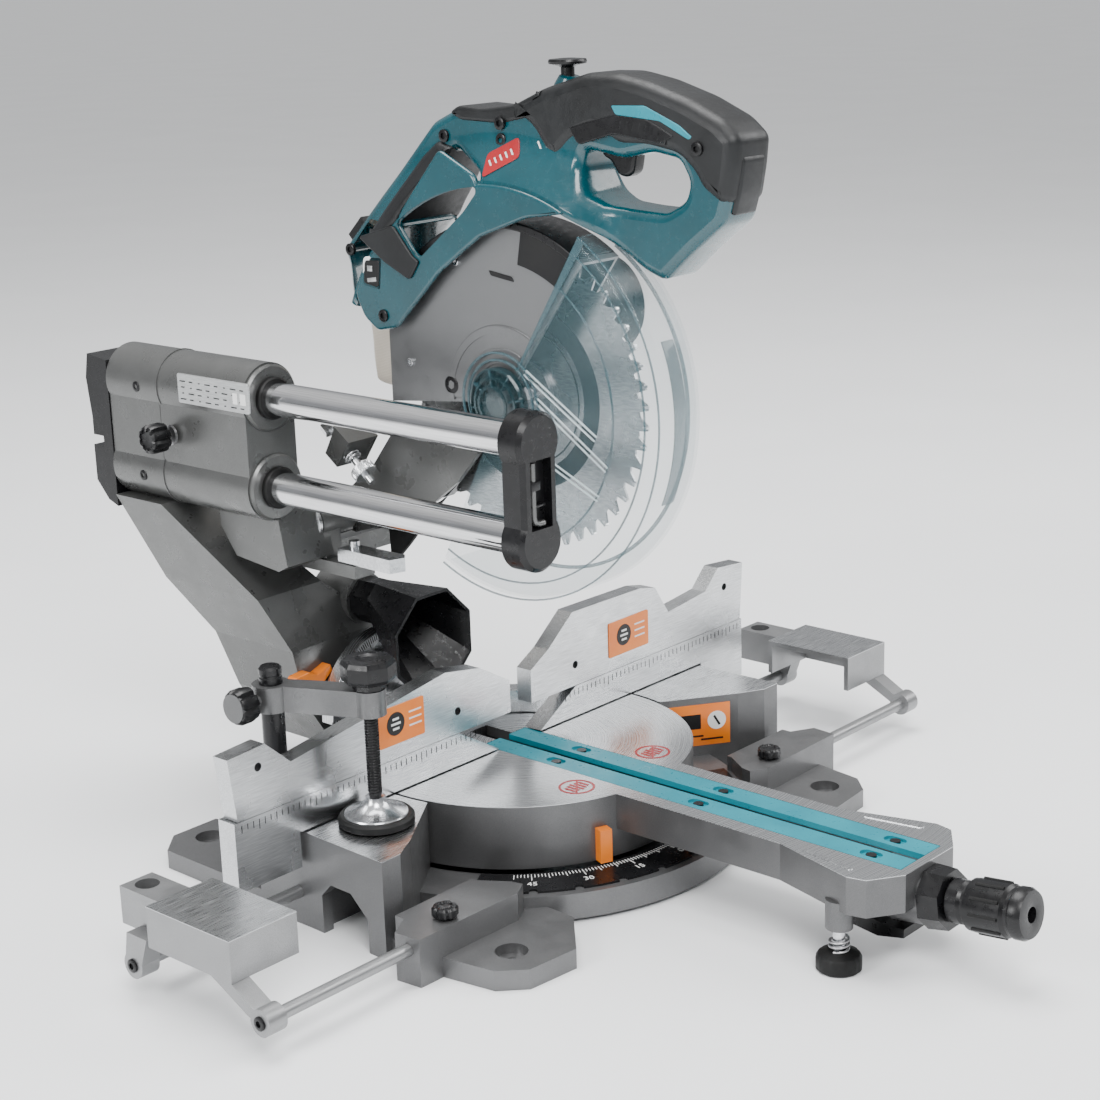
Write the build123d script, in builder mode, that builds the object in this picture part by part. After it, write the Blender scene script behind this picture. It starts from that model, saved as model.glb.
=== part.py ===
"""Sliding compound mitre saw with a 216 mm blade, as separate pieces in one frame.

Millimetres. +Z is up, the operator stands at -Y and +X is the operator's right. The origin is on the
turntable's axis at floor level. The blade plane is x = 0 and the fence's front face is y = 0.
"""

import os
from math import atan2, cos, hypot, pi, radians, sin, sqrt, tan

from build123d import *

os.makedirs("parts", exist_ok=True)

# ---------------------------------------------------------------- driving dimensions
TABLE_Z = 70  # top of the turntable and of the base blocks
TABLE_R = 128  # turntable radius
BASE_GAP = 2.5  # clearance round the turntable
RIM_R = 169  # outer radius of the base's round rim
RIM_Z = 21.5  # top of the rim
FOOT_X, FOOT_Y = 176, 151  # bench bolt holes, from the origin
FOOT_HOLE_R = 4.5
FOOT_RECESS_R = 11  # recess for the bolt's head
FOOT_T, FOOT_FLOOR = 14, 7  # thickness of the feet, and what is left of it under a bolt's head
FOOT_PAD_Z = 33.5  # top of the pads that hold the rods of the side holders
BLOCK_X = 214  # outer face of the base blocks
FENCE_T = 16  # thickness of the fixed fence
UPPER_T = 14  # thickness of the sliding fences
FENCE_Z = 95  # top of the fixed fence
FENCE_X = 273  # half length of the fixed fence

BLADE_R = 108
BLADE_T = 1.8
ARBOR_Y, ARBOR_Z = -21, 333
PIVOT_Y, PIVOT_Z = 150, 228  # hinge that the head chops about
GUARD_R, GUARD_T = 142, 2  # lower guard: outer radius and wall
GUARD_X0, GUARD_X1 = -29, 19  # lower guard: outer faces
GUARD_FRONT, GUARD_REAR = 58, -117  # lower guard's ends at rest, degrees from the front
SWEEP_R1 = 145.5  # outer radius of the space that the lower guard sweeps
CASE_R, CASE_X = 125.5, -25  # fixed blade case: outer radius and left face
CASE_FRONT, CASE_REAR = 54, 186  # its ends, degrees from the front
CASE_Y = 91  # upright rear face of the case
CASE_T, CASE_W = 2.5, 39  # wall, and width over both faces

PIPE_X, PIPE_R = -100, 12  # slide pipes
PIPE_ZS = (265, 331)
PIPE_Y0, PIPE_Y1 = -112, 298
BARREL_R = 25.5  # round barrels of the carriage and of the arm's head
SEAM_Y = 238  # between the carriage and the arm's head
CARRIAGE_Y = 141  # front face of the carriage
RUN = 0.05  # radial clearance of a running fit

GEAR_MODULE, GEAR_TEETH, PINION_TEETH = 1.5, 53, 17
GEAR_X, GEAR_W = 25, 10
MOTOR_DY, MOTOR_DZ = 19, 49  # motor axis, from the arbor
MOTOR_R, MOTOR_X1 = 37, 104  # motor housing: radius and right face

ROD_Z, ROD_R = 24, 4.5  # rods of the side holders
ROD_YS = (-112, 10)
HOLDER_X0, HOLDER_X1 = 300, 354
BEVEL_R = 10  # bevel shaft
BEVEL_SCALE_R = 62
GRIP_TILT = 6  # mitre grip rises towards the operator, degrees
VISE_POST = (-205, 35)
VISE_POST_R = 8
VISE_SCREW = (-173, -27)


# ---------------------------------------------------------------- planes and profiles
def side(x):
    """Side view at a distance along X: local axes are world Y and Z, and extrusion runs towards +X."""
    return Plane.YZ.offset(x)


def front(y):
    """Front view at a distance along Y: local axes are world X and Z, and extrusion runs towards -Y."""
    return Plane.XZ.offset(-y)


def flat(z):
    """Plan at a height: extrusion runs upwards."""
    return Plane.XY.offset(z)


def swing(radius, angle, y=ARBOR_Y, z=ARBOR_Z):
    """Point of the side view at a radius and an angle round the arbor: 0 is the front, 90 the top."""
    return (y - radius * cos(radians(angle)), z + radius * sin(radians(angle)))


def outline(points):
    """Closed polygon in the sketch that is open, at the places given."""
    Polygon(*points, align=None)


def ring_sector(inner, outer, start, end, mode=Mode.ADD):
    """Part of a ring round the arbor, in the side view."""
    middle = (start + end) / 2
    with BuildLine() as edge:
        ThreePointArc(swing(outer, start), swing(outer, middle), swing(outer, end))
        Line(swing(outer, end), swing(inner, end))
        ThreePointArc(swing(inner, end), swing(inner, middle), swing(inner, start))
        Line(swing(inner, start), swing(outer, start))
    make_face(edge.edges(), mode=mode)


def double_barrel(radius, waist):
    """Two round barrels about the pipes with a narrower web between them, in a front view."""
    low, high = PIPE_ZS
    with Locations(*[(PIPE_X, z) for z in PIPE_ZS]):
        Circle(radius)
    with Locations((PIPE_X, (low + high) / 2)):
        Rectangle(waist, high - low)


def mirrored(points):
    """The same outline on the other side of x = 0."""
    return [(-x, y) for x, y in points]


def involute_gear(teeth, module, backlash, addendum=0.9, dedendum=1.2):
    """Outline of a spur gear about the origin. A tooth is centred on local +X."""
    pitch = teeth * module / 2
    base = pitch * cos(radians(20))
    tip, root = pitch + addendum * module, pitch - dedendum * module
    half = pi / (2 * teeth) - backlash / (2 * pitch)
    involute = tan(radians(20)) - radians(20)

    def flank(radius):
        """Half the angle of a tooth at a radius."""
        if radius <= base:
            return half + involute
        pressure = atan2(sqrt(radius**2 - base**2), base)
        return half + involute - (tan(pressure) - pressure)

    radii = [root, max(base, root + 0.1), (base + tip) / 2, tip]
    points = []
    for tooth in range(teeth):
        centre = 2 * pi * tooth / teeth
        up = [(r, centre - flank(r)) for r in radii]
        down = [(r, centre + flank(r)) for r in reversed(radii)]
        points += [(r * cos(a), r * sin(a)) for r, a in up + down]
    return points


ALL = {}


def keep(name, builder):
    """Labels a finished piece and puts it on the list of those to be written."""
    builder.part.label = name
    ALL[name] = builder.part


# ---------------------------------------------------------------- base
FRONT_FOOT = [(112, -95), (114, -150), (148, -182), (188, -178), (204, -162), (212, -112), (212, -70)]
FRONT_PAD = [
    (142, -84), (142, -88), (129, -108), (127, -117), (140, -124), (230, -122), (232, -102), (214, -92),
    (214, -84),
]
REAR_FOOT = [(118, 40), (134, 118), (152, 174), (192, 174), (212, 156), (214, 40)]
BLOCK = [
    (112, 6), (128, -30), (180, -66), (200, -77), (BLOCK_X + 3, -77), (BLOCK_X, 0), (BLOCK_X, 50),
    (112, 50),
]
BLOCK_HOLLOW = [(152, -8), (154, -40), (184, -58), (206, -66), (206, -8)]

with BuildPart() as base_casting:
    with BuildSketch(flat(3)):
        Circle(RIM_R)
    extrude(amount=RIM_Z - 3)
    for mirror_side in (list, mirrored):
        with BuildSketch(flat(0)):
            outline(mirror_side(BLOCK))
        extrude(amount=TABLE_Z)
        with BuildSketch(flat(0)):
            outline(mirror_side(FRONT_FOOT))
            outline(mirror_side(REAR_FOOT))
        extrude(amount=FOOT_T)
        with BuildSketch(flat(0)):
            outline(mirror_side(FRONT_PAD))
        extrude(amount=FOOT_PAD_Z)
    with BuildSketch(flat(14)):
        Circle(TABLE_R + BASE_GAP)
    extrude(amount=80, mode=Mode.SUBTRACT)
    for mirror_side in (list, mirrored):
        with BuildSketch(flat(0)):
            outline(mirror_side(BLOCK_HOLLOW))
        extrude(amount=62, mode=Mode.SUBTRACT)
    for s in (-1, 1):
        with BuildSketch(side(200 * s)):
            outline([(-60, 0), (-14, 0), (-14, 28), (-24, 38), (-44, 38), (-60, 24)])
        extrude(amount=30 * s, mode=Mode.SUBTRACT)
        with BuildSketch(side(134.5 * s)):
            with Locations(*[(y, ROD_Z) for y in ROD_YS]):
                Circle(ROD_R + RUN)
        extrude(amount=130 * s, mode=Mode.SUBTRACT)
    with BuildSketch(flat(FOOT_FLOOR)):
        with Locations(*[(sx * FOOT_X, sy * FOOT_Y) for sx in (-1, 1) for sy in (-1, 1)]):
            Circle(FOOT_RECESS_R)
    extrude(amount=FOOT_T, mode=Mode.SUBTRACT)
    with BuildSketch(flat(0)):
        with Locations(*[(sx * FOOT_X, sy * FOOT_Y) for sx in (-1, 1) for sy in (-1, 1)]):
            Circle(FOOT_HOLE_R)
        Circle(8 + RUN)
    extrude(amount=30, mode=Mode.SUBTRACT)
    with BuildSketch(flat(ROD_Z)):
        with Locations((-196, ROD_YS[0]), (158, ROD_YS[0])):
            Circle(3 + RUN)
    extrude(amount=20, mode=Mode.SUBTRACT)
    with BuildSketch(flat(28)):
        with Locations(VISE_POST, (-VISE_POST[0], VISE_POST[1])):
            Circle(VISE_POST_R + RUN)
    extrude(amount=50, mode=Mode.SUBTRACT)
keep("base_casting", base_casting)

SCALE_R0, SCALE_R1 = 134, 163  # mitre scale plate
SCALE_START, SCALE_END = radians(-150), radians(-30)  # its ends, from +X

with BuildPart() as mitre_scale_plate:
    with BuildSketch(flat(RIM_Z)):
        with BuildLine():
            CenterArc((0, 0), SCALE_R1, -150, 120)
            Line(
                (SCALE_R1 * cos(SCALE_END), SCALE_R1 * sin(SCALE_END)),
                (SCALE_R0 * cos(SCALE_END), SCALE_R0 * sin(SCALE_END)),
            )
            CenterArc((0, 0), SCALE_R0, -30, -120)
            Line(
                (SCALE_R0 * cos(SCALE_START), SCALE_R0 * sin(SCALE_START)),
                (SCALE_R1 * cos(SCALE_START), SCALE_R1 * sin(SCALE_START)),
            )
        make_face()
        with PolarLocations(SCALE_R1 - 1, 9, -135, 90, endpoint=True):
            Circle(3.2, mode=Mode.SUBTRACT)
    extrude(amount=1.5)
keep("mitre_scale_plate", mitre_scale_plate)

with BuildPart() as pivot_bolt:
    with BuildSketch(flat(4)):
        Circle(8)
    extrude(amount=44.3)
    with BuildSketch(flat(48.3)):
        RegularPolygon(11, 6)
    extrude(amount=7)
keep("pivot_bolt", pivot_bolt)

# ---------------------------------------------------------------- fixed fence
ARM_LOWER = [
    (23, 71), (BLOCK_X + 4, 71), (BLOCK_X + 4, 46), (FENCE_X, 46), (FENCE_X, FENCE_Z), (64, FENCE_Z),
]

with BuildPart() as lower_fence:
    for mirror_side in (list, mirrored):
        with BuildSketch(front(0)):
            outline(mirror_side(ARM_LOWER))
        extrude(amount=-FENCE_T)
        with BuildSketch(flat(TABLE_Z)):
            outline(mirror_side([
                (138, FENCE_T), (212, FENCE_T), (212, 24), (190, 24), (190, 44), (138, 44),
            ]))
        extrude(amount=6)
    with BuildSketch(flat(71)):
        with BuildLine():
            ThreePointArc((-74, FENCE_T - 2), (0, 76), (74, FENCE_T - 2))
            Line((74, FENCE_T - 2), (58, FENCE_T - 2))
            ThreePointArc((58, FENCE_T - 2), (0, 61), (-58, FENCE_T - 2))
            Line((-58, FENCE_T - 2), (-74, FENCE_T - 2))
        make_face()
    extrude(amount=17)
    with BuildSketch(flat(TABLE_Z)):
        with Locations((-150, 34), (-180, 34), (150, 34), (180, 34)):
            Circle(3.3)
    extrude(amount=6, mode=Mode.SUBTRACT)
keep("lower_fence", lower_fence)

with BuildPart() as fence_bolts:
    with BuildSketch(flat(TABLE_Z + 6)):
        with Locations((-150, 34), (-180, 34), (150, 34), (180, 34)):
            Circle(5.5)
    extrude(amount=5)
    with BuildSketch(flat(TABLE_Z + 8)):
        with Locations((-150, 34), (-180, 34), (150, 34), (180, 34)):
            RegularPolygon(2.6, 6)
    extrude(amount=5, mode=Mode.SUBTRACT)
    with BuildSketch(flat(TABLE_Z)):
        with Locations((-150, 34), (-180, 34), (150, 34), (180, 34)):
            Circle(3.2)
    extrude(amount=6)
keep("fence_bolts", fence_bolts)

# ---------------------------------------------------------------- sliding upper fences
UPPER_Z = FENCE_Z + 0.4
LEFT_UPPER = [
    (-270, UPPER_Z), (-275, 140), (-243, 142), (-222, 123), (-75, 144), (-40, 138), (-9, 120),
    (-9, UPPER_Z),
]
RIGHT_UPPER = [
    (14, UPPER_Z),
    (14, 121),
    (34, 132),
    (62, 154),
    (142, 153),
    (161, 149),
    (177, 125),
    (225, 130),
    (242, 146),
    (275, 143),
    (271, UPPER_Z),
]


for fence_name, points, s in (("left_upper_fence", LEFT_UPPER, -1), ("right_upper_fence", RIGHT_UPPER, 1)):
    with BuildPart() as upper_fence:
        with BuildSketch(front(0)):
            outline(points)
        extrude(amount=-UPPER_T)
        with BuildSketch(front(UPPER_T)):
            with Locations((s * 120, 110)):
                Rectangle(30, 24)
        extrude(amount=-8)
        with BuildSketch(front(0)):
            with Locations((s * 250, 128), (s * 64, 112)):
                Circle(3)
        extrude(amount=-6, mode=Mode.SUBTRACT)
    keep(fence_name, upper_fence)

# ---------------------------------------------------------------- turntable
EXTENSION = [(-36, -100), (-36, -262), (-53, -325), (-50, -338), (-28, -353)]
EXTENSION += [(-x, y) for x, y in reversed(EXTENSION)]
BOARD_X, BOARD_Y0, BOARD_Y1, BOARD_T = 23, -346, 16, 4
KERF_X = 5  # half of the gap between the kerf boards
FOOT_POST = (-44, -314)

GRIP = Plane(
    origin=(0, -354.5, 46),
    x_dir=(1, 0, 0),
    z_dir=(0, -cos(radians(GRIP_TILT)), sin(radians(GRIP_TILT))),
)

with BuildPart() as turntable:
    with BuildSketch(flat(24)):
        Circle(TABLE_R)
    extrude(amount=TABLE_Z - 24)
    with BuildSketch(flat(23.9)):
        Circle(TABLE_R - 7)
        Circle(26, mode=Mode.SUBTRACT)
    extrude(amount=TABLE_Z - 24 - 8, mode=Mode.SUBTRACT)
    with BuildSketch(flat(14.3)):
        Circle(26)
    extrude(amount=20)
    with BuildSketch(flat(44)):
        outline(EXTENSION)
    extrude(amount=TABLE_Z - 44)
    with BuildSketch(flat(43.9)):
        outline([
            (-30, -112), (-30, -263), (-40, -300), (-28, -330), (28, -330), (40, -300), (30, -263),
            (30, -112),
        ])
    extrude(amount=18, mode=Mode.SUBTRACT)
    with BuildSketch(flat(29)):
        with Locations(FOOT_POST):
            Circle(9)
    extrude(amount=20)
    with BuildSketch(flat(25)):
        with Locations((0, 95)):
            Rectangle(80, 70)
    extrude(amount=41)
    with BuildSketch(front(100)):
        with Locations((0, TABLE_Z)):
            Circle(20)
    extrude(amount=-30)
    with BuildSketch(front(126)):
        with Locations((0, TABLE_Z)):
            Circle(46)
    extrude(amount=-24)
    with BuildSketch(front(138)):
        with Locations((0, TABLE_Z)):
            Circle(BEVEL_SCALE_R)
        with Locations((0, TABLE_Z - 40)):
            Rectangle(140, 80, mode=Mode.SUBTRACT)
    extrude(amount=-11)
    with BuildSketch(GRIP.offset(1)):
        Circle(19)
    extrude(amount=-27)
    with BuildSketch(GRIP.offset(1)):
        Circle(7 + RUN)
    extrude(amount=-15, mode=Mode.SUBTRACT)
    with BuildSketch(flat(TABLE_Z - BOARD_T)):
        with Locations((0, (BOARD_Y0 + BOARD_Y1) / 2)):
            Rectangle(2 * BOARD_X + 1, BOARD_Y1 - BOARD_Y0 + 1)
    extrude(amount=10, mode=Mode.SUBTRACT)
    with BuildSketch(flat(52)):
        with Locations((0, -140)):
            Rectangle(18, 366)
    extrude(amount=20, mode=Mode.SUBTRACT)
    with BuildSketch(front(60)):
        with Locations((0, TABLE_Z)):
            Circle(BEVEL_R + RUN)
    extrude(amount=-100, mode=Mode.SUBTRACT)
    with BuildSketch(flat(14)):
        Circle(8 + RUN)
    extrude(amount=36, mode=Mode.SUBTRACT)
    with BuildSketch(flat(46)):
        Circle(13)
    extrude(amount=14, mode=Mode.SUBTRACT)
    with BuildSketch(flat(20)):
        with Locations(FOOT_POST):
            Circle(4 + RUN)
    extrude(amount=44, mode=Mode.SUBTRACT)
keep("turntable", turntable)

BOARD_SCREWS = [(14, -318), (14, -178), (14, -48)]
with BuildPart() as kerf_boards:
    with BuildSketch(flat(TABLE_Z - BOARD_T)):
        with Locations(*[(s * (BOARD_X + KERF_X) / 2, (BOARD_Y0 + BOARD_Y1) / 2) for s in (-1, 1)]):
            Rectangle(BOARD_X - KERF_X, BOARD_Y1 - BOARD_Y0)
    extrude(amount=BOARD_T)
    with BuildSketch(flat(TABLE_Z - 2)):
        with Locations(*[(s * x, y) for x, y in BOARD_SCREWS for s in (-1, 1)]):
            SlotOverall(16, 9, rotation=90)
    extrude(amount=4, mode=Mode.SUBTRACT)
keep("kerf_boards", kerf_boards)

with BuildPart() as kerf_screws:
    with BuildSketch(flat(TABLE_Z - 2)):
        with Locations(*[(s * x, y) for x, y in BOARD_SCREWS for s in (-1, 1)]):
            Circle(3.6)
    extrude(amount=1.6)
keep("kerf_screws", kerf_screws)

with BuildPart() as mitre_pointer:
    for angle in (-68, -112):
        with BuildSketch(Plane.XY.rotated((0, 0, angle)).offset(RIM_Z + 3)):
            with Locations((TABLE_R + 4, 0)):
                Rectangle(8, 9)
        extrude(amount=24)
keep("mitre_pointer", mitre_pointer)

# ---------------------------------------------------------------- front foot
with BuildPart() as foot_screw:
    with BuildSketch(flat(8)):
        with Locations(FOOT_POST):
            Circle(4)
    extrude(amount=50)
keep("foot_screw", foot_screw)

with BuildPart() as foot_pad:
    with BuildSketch(flat(0)):
        with Locations(FOOT_POST):
            Circle(15)
    extrude(amount=13)
    with BuildSketch(flat(8)):
        with Locations(FOOT_POST):
            Circle(4)
    extrude(amount=6, mode=Mode.SUBTRACT)
    chamfer(edges().filter_by(GeomType.CIRCLE).group_by(Axis.Z)[-1].sort_by(SortBy.LENGTH)[-1], 2.5)
keep("foot_pad", foot_pad)

# ---------------------------------------------------------------- mitre grip and lock lever
with BuildPart() as grip_collar:
    with BuildSketch(GRIP.offset(1)):
        RegularPolygon(21, 8, rotation=22.5)
        Circle(7 + RUN, mode=Mode.SUBTRACT)
    extrude(amount=15, taper=4)
keep("grip_collar", grip_collar)

with BuildPart() as mitre_grip:
    with BuildSketch(GRIP.offset(16.5)):
        Circle(14)
    extrude(amount=12)
    with BuildSketch(GRIP.offset(28.5)):
        Circle(15.5)
    extrude(amount=44)
    with BuildSketch(GRIP.offset(30)):
        with PolarLocations(16.2, 6):
            Rectangle(2.4, 5)
    extrude(amount=38)
    with BuildSketch(GRIP.offset(66)):
        Circle(5)
    extrude(amount=8, mode=Mode.SUBTRACT)
    with BuildSketch(GRIP.offset(-12)):
        Circle(7)
    extrude(amount=29)
    fillet(edges().filter_by(GeomType.CIRCLE).sort_by(Axis.Y)[:2].sort_by(SortBy.LENGTH)[-1], 3)
keep("mitre_grip", mitre_grip)

with BuildPart() as mitre_lever:
    with BuildSketch(side(-12)):
        outline([
            (-342, 23), (-342, 17), (-322, 13), (-300, 16), (-282, 23), (-282, 28), (-310, 25),
            (-326, 23),
        ])
    extrude(amount=24)
keep("mitre_lever", mitre_lever)

# ---------------------------------------------------------------- bevel arm
FUNNEL_Z, FUNNEL_R = 129, 43.5  # mouth of the dust funnel
NECK_Z, NECK_R = 152, 18  # its neck, on the arm
FUNNEL_T = 2.5  # its wall
ARM_SECTIONS = [
    (40, [(-40, 160), (40, 160), (40, 236), (-40, 236)]),
    (84, [(-68, 160), (42, 160), (42, 238), (-68, 238)]),
    (128, [(-78, 160), (20, 160), (14, 250), (-78, 250)]),
    (172, [(-98, 172), (-34, 172), (-40, 281), (-98, 281)]),
    (242, [(-126, 243), (-76, 243), (-76, 298), (-126, 298)]),
]

with BuildPart() as arm_casting:
    for z, corners in ARM_SECTIONS:
        with BuildSketch(flat(z)):
            outline(corners)
    loft(ruled=True)
    with BuildSketch(front(SEAM_Y + 0.5)):
        double_barrel(BARREL_R, 46)
    extrude(amount=-(PIPE_Y1 - SEAM_Y))
    with BuildSketch(front(150.5)):
        with Locations((0, TABLE_Z)):
            Circle(43)
    extrude(amount=-87)
    with BuildSketch(front(160)):
        with Locations((0, NECK_Z)):
            Circle(NECK_R + 2)
    extrude(amount=-40)
    with BuildSketch(front(140)):
        with Locations((0, TABLE_Z)):
            Circle(BEVEL_R)
    extrude(amount=-120, mode=Mode.SUBTRACT)
    with BuildSketch(front(200)):
        with Locations(*[(PIPE_X, z) for z in PIPE_ZS]):
            Circle(PIPE_R)
    extrude(amount=-110, mode=Mode.SUBTRACT)
keep("arm_casting", arm_casting)

with BuildPart() as arm_rear_cover:
    with BuildSketch(side(-124)):
        outline([
            (299, 346), (322, 349), (326, 330), (322, 300), (322, 286), (310, 286), (310, 278),
            (323, 278), (323, 250), (310, 236), (299, 232),
        ])
    extrude(amount=48)
keep("arm_rear_cover", arm_rear_cover)

with BuildPart() as bevel_shaft:
    with BuildSketch(front(96)):
        with Locations((0, TABLE_Z)):
            Circle(BEVEL_R)
    extrude(amount=-144)
keep("bevel_shaft", bevel_shaft)

with BuildPart() as slide_pipes:
    with BuildSketch(front(PIPE_Y0)):
        with Locations(*[(PIPE_X, z) for z in PIPE_ZS]):
            Circle(PIPE_R)
            Circle(PIPE_R - 2.5, mode=Mode.SUBTRACT)
    extrude(amount=-(PIPE_Y1 - PIPE_Y0))
keep("slide_pipes", slide_pipes)

CAP_Y0, CAP_Y1 = -121, -103
with BuildPart() as pipe_end_cap:
    with BuildSketch(front(CAP_Y1)):
        double_barrel(20.5, 34)
    extrude(amount=CAP_Y1 - CAP_Y0)
    chamfer(faces().sort_by(Axis.Y)[0].edges(), 3)
    with BuildSketch(front(CAP_Y1)):
        with Locations(*[(PIPE_X, z) for z in PIPE_ZS]):
            Circle(PIPE_R)
    extrude(amount=CAP_Y1 - PIPE_Y0, mode=Mode.SUBTRACT)
    with BuildSketch(front(CAP_Y0 + 7)):
        with Locations((PIPE_X, 297)):
            Rectangle(20, 46)
    extrude(amount=8, mode=Mode.SUBTRACT)
keep("pipe_end_cap", pipe_end_cap)

with BuildPart() as bevel_lock_lever:
    with BuildSketch(front(247)):
        with Locations((0, TABLE_Z)):
            Circle(18)
            Circle(BEVEL_R + RUN, mode=Mode.SUBTRACT)
    extrude(amount=-14)
    with BuildSketch(front(261.5)):
        outline([(-10, 64), (10, 64), (72, 128), (66, 138), (54, 134)])
    extrude(amount=-12)
    with BuildSketch(front(261)):
        with Locations((0, TABLE_Z)):
            Circle(18)
    extrude(amount=-12)
keep("bevel_lock_lever", bevel_lock_lever)

with BuildPart() as dust_funnel:
    with BuildSketch(front(86)):
        with Locations((0, FUNNEL_Z)):
            RegularPolygon(FUNNEL_R, 8, rotation=22.5)
    with BuildSketch(front(140)):
        with Locations((0, NECK_Z)):
            RegularPolygon(NECK_R, 8, rotation=22.5)
    loft(ruled=True)
    with BuildSketch(front(140)):
        with Locations((0, NECK_Z)):
            RegularPolygon(NECK_R, 8, rotation=22.5)
    extrude(amount=-20)
    with BuildSketch(front(85)):
        with Locations((0, FUNNEL_Z)):
            RegularPolygon(FUNNEL_R - FUNNEL_T, 8, rotation=22.5)
    with BuildSketch(front(140)):
        with Locations((0, NECK_Z)):
            RegularPolygon(NECK_R - FUNNEL_T, 8, rotation=22.5)
    loft(ruled=True, mode=Mode.SUBTRACT)
keep("dust_funnel", dust_funnel)

# ---------------------------------------------------------------- carriage on the pipes
DEPTH_AXIS = (48 / hypot(48, 40), 40 / hypot(48, 40))  # slant of the depth bolt, in Y and Z
STOP_PIN, STOP_PIN_R = (-52, 112), 4
EARS = ((-60, -44), (32, 48))  # the carriage's ears either side of the head's hinge barrel

with BuildPart() as carriage:
    with BuildSketch(front(SEAM_Y)):
        double_barrel(BARREL_R, 46)
    extrude(amount=SEAM_Y - CARRIAGE_Y)
    with BuildSketch(side(PIPE_X)):
        outline([
            (133, 205), (CARRIAGE_Y + 2, 200), (190, 205), (206, 226), (206, 250), (CARRIAGE_Y + 1, 250),
        ])
    extrude(amount=46)
    for ear_x0, ear_x1 in EARS:
        with BuildSketch(side(ear_x0)):
            with Locations((PIVOT_Y, PIVOT_Z)):
                Circle(15)
            outline([(136, 222), (134, 200), (178, 200), (178, 226), (162, 236)])
        extrude(amount=ear_x1 - ear_x0)
    with BuildSketch(side(-60)):
        outline([(152, 192), (186, 192), (186, 207), (152, 207)])
    extrude(amount=108)
    with BuildSketch(flat(192)):
        with Locations((-52, 131)):
            Rectangle(20, 58)
    extrude(amount=9.6)
    with BuildSketch(front(SEAM_Y + 1)):
        with Locations(*[(PIPE_X, z) for z in PIPE_ZS]):
            Circle(PIPE_R + 1)
    extrude(amount=120, mode=Mode.SUBTRACT)
    for y0 in (CARRIAGE_Y + 24, SEAM_Y):
        with BuildSketch(front(y0)):
            with Locations(*[(PIPE_X, z) for z in PIPE_ZS]):
                Circle(15)
        extrude(amount=24, mode=Mode.SUBTRACT)
    with BuildSketch(side(-80)):
        with Locations((PIVOT_Y, PIVOT_Z)):
            Circle(8)
    extrude(amount=160, mode=Mode.SUBTRACT)
    with BuildSketch(flat(190)):
        with Locations(STOP_PIN):
            Circle(STOP_PIN_R + RUN)
    extrude(amount=14, mode=Mode.SUBTRACT)
    with BuildSketch(side(-130)):
        with Locations((224, 298)):
            Circle(4 + RUN)
    extrude(amount=16, mode=Mode.SUBTRACT)
keep("carriage", carriage)

with BuildPart() as slide_bushings:
    for y0 in (CARRIAGE_Y + 24, SEAM_Y):
        with BuildSketch(front(y0)):
            with Locations(*[(PIPE_X, z) for z in PIPE_ZS]):
                Circle(15)
                Circle(PIPE_R + RUN, mode=Mode.SUBTRACT)
        extrude(amount=24)
keep("slide_bushings", slide_bushings)

with BuildPart() as hinge_pin:
    with BuildSketch(side(-64)):
        with Locations((PIVOT_Y, PIVOT_Z)):
            Circle(8)
            Circle(4.5, mode=Mode.SUBTRACT)
    extrude(amount=118)
keep("hinge_pin", hinge_pin)

with BuildPart() as slide_lock_knob:
    with BuildSketch(side(-150)):
        with Locations((224, 298)):
            Circle(11)
    extrude(amount=18)
    with BuildSketch(side(-132)):
        with Locations((224, 298)):
            Circle(4)
    extrude(amount=16)
keep("slide_lock_knob", slide_lock_knob)

DEPTH_PLANE = Plane(origin=(-44, 99, 264), x_dir=(1, 0, 0), z_dir=(0, DEPTH_AXIS[0], DEPTH_AXIS[1]))
with BuildPart() as depth_bolt:
    with BuildSketch(DEPTH_PLANE.offset(-2)):
        Circle(3)
    extrude(amount=58)
    with BuildSketch(DEPTH_PLANE.offset(50)):
        RegularPolygon(6.5, 6)
    extrude(amount=8)
    with BuildSketch(DEPTH_PLANE.offset(6)):
        Circle(8.5)
    extrude(amount=7)
keep("depth_bolt", depth_bolt)

with BuildPart() as stopper_arm:
    with BuildSketch(flat(202)):
        outline([(-60, 122), (-44, 122), (-43, 68), (-49, 62), (-61, 66)])
    extrude(amount=10.4)
    with BuildSketch(flat(193)):
        with Locations(STOP_PIN):
            Circle(STOP_PIN_R)
    extrude(amount=25)
keep("stopper_arm", stopper_arm)

# ---------------------------------------------------------------- head: castings
with BuildPart() as head_arm:
    with BuildSketch(side(-43.5)):
        with Locations((PIVOT_Y, PIVOT_Z)):
            Circle(14.5)
    extrude(amount=75)
    with BuildSketch(side(-24)):
        outline([
            (165, 226), (150, 243), (118, 268), (92, 300), (60, 321), (26, 300), (8, 292), (30, 268),
            (54, 250), (96, 228), (140, 214), (160, 216),
        ])
    extrude(amount=4)
    with BuildSketch(side(-24)):
        outline([(165, 226), (150, 243), (122, 266), (98, 252), (112, 228), (140, 214), (160, 216)])
    extrude(amount=45)
    with BuildSketch(side(-52)):
        outline([(112, 292), (126, 272), (138, 281), (126, 302)])
    extrude(amount=30)
    with BuildSketch(DEPTH_PLANE):
        Circle(3 + RUN)
    extrude(amount=60, mode=Mode.SUBTRACT)
    with BuildSketch(side(-44)):
        with Locations((PIVOT_Y, PIVOT_Z)):
            Circle(8 + RUN)
    extrude(amount=80, mode=Mode.SUBTRACT)
keep("head_arm", head_arm)

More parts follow.
